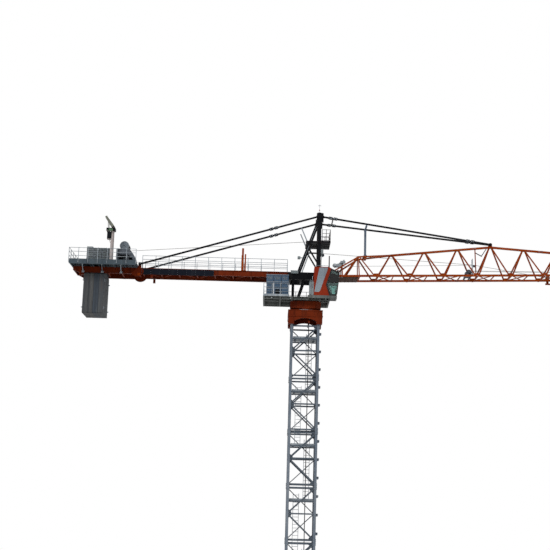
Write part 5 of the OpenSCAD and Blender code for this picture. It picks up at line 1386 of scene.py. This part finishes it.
def light_mast_fittings():
    """Boxes, lamps, sleeve, panel and cable of the light mast."""
    at = Vector((WINCH_LOW.x + 1.58, -0.62, WINCH_DECK))

    def box(piece, x, y, z, chamfer):
        piece.block(above(at.x, *x), above(at.y, *y), above(at.z, *z), chamfer)

    shell = Piece("light_mast_boxes", "winch_paint", "lamp_shell")
    for x, y, z, chamfer in (
        ((-0.212, -0.03), 0.075, (1.04, 1.3), 0.012), ((-0.22, -0.03), 0.082, (1.295, 1.31), 0.006),
        ((-0.24, -0.15), 0.17, (1.37, 1.46), 0.02), ((0.03, 0.11), 0.17, (1.36, 1.47), 0.02),
        ((-0.232, 0.072), 0.152, (1.428, 1.462), 0.004),
    ):
        box(shell, x, (-y, y), z, chamfer)
    for y in (-0.05, 0.05):
        shell.rod(at + Vector((-0.13, y, 1.268)), at + Vector((-0.13, y, 1.43)), 0.011)
    for level in (1.08, 1.19):
        shell.turned(at + UP * level, UP, [(0, 0.06), (0.02, 0.06)], 24)
    shell.done(0.002)

    lamps = Piece("light_mast_lamps", "cab_glass", "lamp_green")
    box(lamps, (-0.15, 0.03), (-0.165, 0.165), (1.35, 1.43), 0.016)
    for y, (x, lean) in product((-0.095, 0.095), ((-0.125, -0.35), (-0.02, -0.35))):
        look = Vector((lean, 0, -1)).normalized()
        top = at + Vector((x, y, 1.43))
        lamps.turned(top, look, [(0, 0.03), (0.02, 0.045), (0.06, 0.05), (0.066, 0.046), (0.07, 0.02)], 20)
    lamps.done()

    sleeve = Piece("light_mast_sleeve", "mast_paint", "post_paint")
    sleeve.turned(at, UP, [(0, 0.1), (0.012, 0.1), (0.014, 0.072), (1.35, 0.07), (1.36, 0.05)], 28)
    for spot in around(6, 0.085):
        sleeve.bolt(at + spot + UP * 0.0115, UP, 0.008)
    sleeve.done()

    panel = Piece("light_mast_panel_frame", "galvanised", "panel_olive")
    low, high = at + Vector((0.02, 0, 1.5)), at + Vector((-0.29, 0, 1.9))
    run = (high - low).normalized()
    out = Vector((run.z, 0, -run.x))
    case = [low + out * 0.05, high + out * 0.045, high - out * 0.02, low - out * 0.055]
    panel.prism([corner - ALONG * 0.262 for corner in case], ALONG * 0.524)
    face = out * 0.058
    for y in (-0.255, -0.085, 0.085, 0.255):
        panel.bar(low + ALONG * y + face, high + ALONG * y + face, 0.012, 0.012)
    for share in (0.02, 0.26, 0.5, 0.74, 0.98):
        middle = low.lerp(high, share) + face
        panel.bar(middle - ALONG * 0.255, middle + ALONG * 0.255, 0.012, 0.012)
    for y in (-0.14, 0.14):
        panel.bar(at + Vector((-0.17, y, 1.455)), low.lerp(high, 0.62) + ALONG * y - out * 0.016, 0.02, 0.02)
    panel.done()

    cable = Piece("light_mast_cable", "cable_sheath")
    cable.tube([at + Vector(point) for point in (
        (-0.12, 0.03, 1.01), (-0.1, 0.035, 0.94), (-0.066, 0.03, 0.86), (-0.06, 0.03, 0.6), (-0.06, 0.03, 0.2),
        (-0.066, 0.04, 0.05), (-0.09, 0.06, 0.018),
    )], 0.008)
    cable.done()


# Jib

ROOT_WHEELS = Vector((1.16, 0, 15.44)), Vector((1.42, 0, 15.5))
POST_X = on_jib(6.248, 0, 0).x
GUIDE_WHEEL = Vector((POST_X - 0.075, ROPE_SIDE, 15.6))


def jib_fittings():
    """Joint pins, gussets and root soffit of the jib, the soffit in orange darkened as painted shade."""
    pins = Piece("jib_joint_pins", "galvanised")
    gussets = Piece("jib_gussets", "orange_paint")
    for k, side in product((2, 4, 6, 8, 10), SIDES):
        u, out = node_u(k), (0, side, 0)
        for du in (-0.016, 0.016):
            at = on_jib(u + du, side * (CHORD_SIDE + 0.0471), -0.005)
            pins.turned(at, out, [(0, 0.0125), (0.006, 0.0125), (0.009, 0.008)], 12)
        under = on_jib(u - 0.016, side * CHORD_SIDE, -0.0475)
        pins.turned(under, -UP, [(0, 0.014), (0.006, 0.014), (0.009, 0.009)], 12)
        height = top_v(u)
        corners = ((-0.1, -0.036), (0.1, -0.036), (0.1, 0.036), (-0.1, 0.036))
        gussets.prism([on_jib(u + du, side * 0.04, height + dv) for du, dv in corners], ALONG * side * 0.006)
        for du in (-0.07, -0.03, 0.03, 0.07):
            at = on_jib(u + du, side * 0.046, height)
            pins.turned(at, out, [(0, 0.011), (0.006, 0.011), (0.009, 0.007)], 10)
    for k in range(1, 11):
        corners = ((-0.13, 0.036), (0.13, 0.036), (0.08, 0.1), (-0.08, 0.1))
        for side in SIDES:
            y = side * CHORD_SIDE - 0.003
            gussets.prism([on_jib(node_u(k) + du, y, v) for du, v in corners], ALONG * 0.006)
        if k >= 2:
            u = node_u(k - 0.5)
            apex = on_jib(u, 0, top_v(u))
            gussets.block(about(apex.x, 0.1), (-0.055, 0.055), above(apex.z, -0.047, -0.038))
    gussets.done()
    pins.done()

    # The underside of the jib root, its orange darkened as painted shade
    soffit = Piece("jib_root_soffit", "orange_paint", "root_orange_painted_shade")
    reach, under = CHORD_SIDE - 0.01, -0.0475
    first, last = 0.32, 1.44
    corners = ((first, -reach), (last, -reach), (last, reach), (first, reach))
    soffit.prism([on_jib(u, y, under) for u, y in corners], UP * -0.005)
    for i in range(8):
        u = first + 0.02 + i * (last - first - 0.05) / 7
        soffit.bar(on_jib(u, -reach, under - 0.009), on_jib(u, reach, under - 0.009), 0.012, 0.012)
    for y in (-0.3, 0, 0.3):
        soffit.bar(on_jib(first, y, under - 0.007), on_jib(last, y, under - 0.007), 0.03, 0.006)
    soffit.done(0.001)


def jib_top_fittings():
    """Rope wheels, lamp, ladder and stay between the jib's root and its post."""
    roots = Piece("jib_root_wheels", "winch_paint", "galvanised")
    bar = on_jib(FIRST_NODE, 0, 0.424)
    for y in (-0.066, 0.054):
        roots.plate([
            (bar.x - 0.04, bar.z + 0.02), (bar.x + 0.04, bar.z + 0.02), (1.5, 15.47), (1.47, 15.54),
            (1.12, 15.48), (1.1, 15.41),
        ], y, 0.012)
    for wheel, radius in zip(ROOT_WHEELS, (0.085, 0.095)):
        roots.sheave(wheel, radius)
        roots.rod(wheel - ALONG * 0.08, wheel + ALONG * 0.08, 0.014)
    roots.block((1.38, 1.58), (-0.2, -0.07), (15.51, 15.6), 0.01)
    roots.rod((1.44, -0.13, 15.53), (1.44, 0.06, 15.53), 0.012)
    roots.done()

    lamp = Piece("jib_root_lamp", "cab_glass", "lamp_white")
    lamp.turned((1.52, -0.13, 15.599), UP, [(0, 0.035), (0.012, 0.04), (0.05, 0.036), (0.066, 0.014)], 18)
    lamp.done()

    ladder = Piece("jib_ladder", "galvanised")
    base = on_jib(6.06, 0, 0.086)
    for y in (-0.29, -0.13):
        ladder.bar((base.x, y, base.z), (base.x, y, base.z + 0.66), 0.016, 0.024)
    for i in range(6):
        z = base.z + 0.08 + i * 0.11
        ladder.rod((base.x, -0.29, z), (base.x, -0.13, z), 0.008)
    ladder.done()

    stay = Piece("jib_post_stay", "black_paint")
    stay.bar(on_jib(6.262, 0, 1.05), on_jib(6.52, 0, 0.9), 0.03, 0.03)
    stay.bar(on_jib(6.5, 0, 0.91), on_jib(6.71, 0, top_v(6.71) - 0.045), 0.03, 0.03)
    stay.done()

    guide = GUIDE_WHEEL
    blocks = Piece("jib_guide_wheel", "winch_paint")
    blocks.sheave(guide, 0.05, 0.024)
    rear, front = about(guide.x, 0.03)
    cheek = [(rear, -0.03), (front, -0.045), (POST_X, -0.045), (POST_X, 0.03), (rear, 0.03)]
    for y in about(guide.y, 0.018):
        blocks.plate([(x, guide.z + z) for x, z in cheek], y - 0.002, 0.004)
    blocks.rod((guide.x, 0.01, guide.z), guide + ALONG * 0.022, 0.01)
    blocks.rod((POST_X - 0.01, 0, guide.z - 0.02), (POST_X - 0.01, guide.y + 0.02, guide.z - 0.02), 0.012)
    blocks.done()


def hoist_rope():
    """The taut rope from the winch's reel over the head to the trolley and the jib's tip."""
    radius = 0.008
    first, second = ROOT_WHEELS

    def round_wheel(centre, wheel_radius, first_turn, last_turn):
        turns = [math.radians(first_turn + (last_turn - first_turn) * i / 6) for i in range(7)]
        reach = wheel_radius + radius - 0.014
        return [centre + Vector((math.cos(t), 0, math.sin(t))) * reach for t in turns]

    rope = Piece("hoist_rope", "wire_rope")
    trolley = Vector((TROLLEY_X, -0.06, ROPE_WHEELS_Z + 0.076))
    path = [REEL + Vector((0.012, ROPE_SIDE, -0.144))]
    path += round_wheel(REAR_WHEEL, 0.085, 96, 60)
    path += round_wheel(FRONT_WHEEL, 0.075, 60, 87)
    path += round_wheel(GUIDE_WHEEL, 0.05, 92, 80)
    rope.tube(path + [trolley - RIGHT * 0.125, trolley - RIGHT * 0.1], radius)
    rope.tube([
        first + Vector((-0.09, 0, -0.02)), first - UP * 0.094, second - UP * 0.094,
        GUIDE_WHEEL + Vector((-0.035, -0.03, 0.03)),
    ], 0.006)
    tip = on_jib(14.94, 0.06, -0.075)
    rope.tube([trolley + Vector((0.1, 0.12, 0)), tip], radius)
    rope.done()

    anchor = Piece("rope_anchor", "galvanised")
    profile = [(0, 0.012), (0.02, 0.018), (0.1, 0.02), (0.13, 0.012)]
    anchor.turned(tip - RIGHT * 0.14, (1, 0, 0.03), profile, 14)
    anchor.block(above(tip.x, -0.02, 0.03), (0.052, 0.068), above(tip.z, -0.02, 0.05), 0.002)
    anchor.done()


def trolley_fittings():
    """Wheel rims and rope wheels of the trolley, trim of the hook, and the fittings of the jib's tip."""
    trim = Piece("trolley_trim", "galvanised")
    for x, side in product(about(TROLLEY_X, 0.3), SIDES):
        z, out = chord_level(x) + 0.118, (0, side, 0)
        hub, rim = side * (CHORD_SIDE + 0.0745), side * (CHORD_SIDE + 0.026)
        trim.turned((x, rim, z), out, [(0, 0.08), (0.005, 0.092), (0.012, 0.092), (0.014, 0.06)], 28)
        trim.turned((x, hub, z), out, [(0, 0.032), (0.012, 0.03), (0.016, 0.012)], 16)
        for dx in (-0.03, 0.03):
            trim.bolt((x + dx, side * (CHORD_SIDE + 0.0705), z - 0.1), out, 0.008)
    trim.done()

    wheels = Piece("trolley_rope_wheels", "winch_paint")
    for side, edge in product(SIDES, SIDES):
        at = (TROLLEY_X + side * 0.11, side * 0.06 + edge * 0.018, ROPE_WHEELS_Z)
        wheels.turned(at, (0, edge, 0), [(-0.006, 0.082), (0.002, 0.084), (0.004, 0.06)], 26)
    wheels.done()

    hook = Piece("hook_latch", "galvanised")
    eye = Vector((TROLLEY_X, 0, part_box("hook_block")[1].z - 0.42))
    hook.turned(eye - UP * 0.209, UP, [(0, 0.046), (0.008, 0.05), (0.02, 0.05), (0.028, 0.04)], 22)
    for side in SIDES:
        for x in (-0.06, 0.06):
            at = eye + Vector((x, side * 0.101, -0.09))
            hook.turned(at, (0, side, 0), [(0, 0.03), (0.008, 0.028), (0.012, 0.012)], 18)
        for x, z in ((-0.1, -0.06), (0.1, -0.06), (0, -0.18)):
            hook.bolt(eye + Vector((x, side * 0.101, z)), (0, side, 0), 0.008)
    hook.bar(eye + Vector((-0.012, 0, -0.318)), eye + Vector((-0.075, 0, -0.43)), 0.03, 0.008)
    hook.done()

    tip = Piece("jib_tip_fittings", "galvanised")
    end = on_jib(15.02, 0, 0.06)
    for side in SIDES:
        profile = [(0, 0.036), (0.008, 0.034), (0.012, 0.014)]
        tip.turned((end.x, side * 0.122, end.z), (0, side, 0), profile, 18)
    tip.done()

    beacon = Piece("jib_tip_beacon", "cab_glass", "lamp_red")
    beacon.turned(on_jib(14.9, 0, 0.152), UP, [(0, 0.026), (0.012, 0.03), (0.05, 0.025), (0.06, 0.01)], 18)
    beacon.done()


make_camera()
dress_frame()
mast_fittings()
slewing_fittings()
deck_fittings()
cab_fittings()
head_fittings()
counter_jib_fittings()
winch_fittings()
cabinet_fittings()
light_mast_fittings()
jib_fittings()
jib_top_fittings()
hoist_rope()
trolley_fittings()
make_floor()
make_world()
make_sun("key", (0.55, 0.62, -0.56), KEY_STRENGTH, 18)
make_sun("fill", (-0.7, 0.5, -0.3), FILL_STRENGTH, 40)
bpy.context.scene.view_settings.view_transform = "Standard"
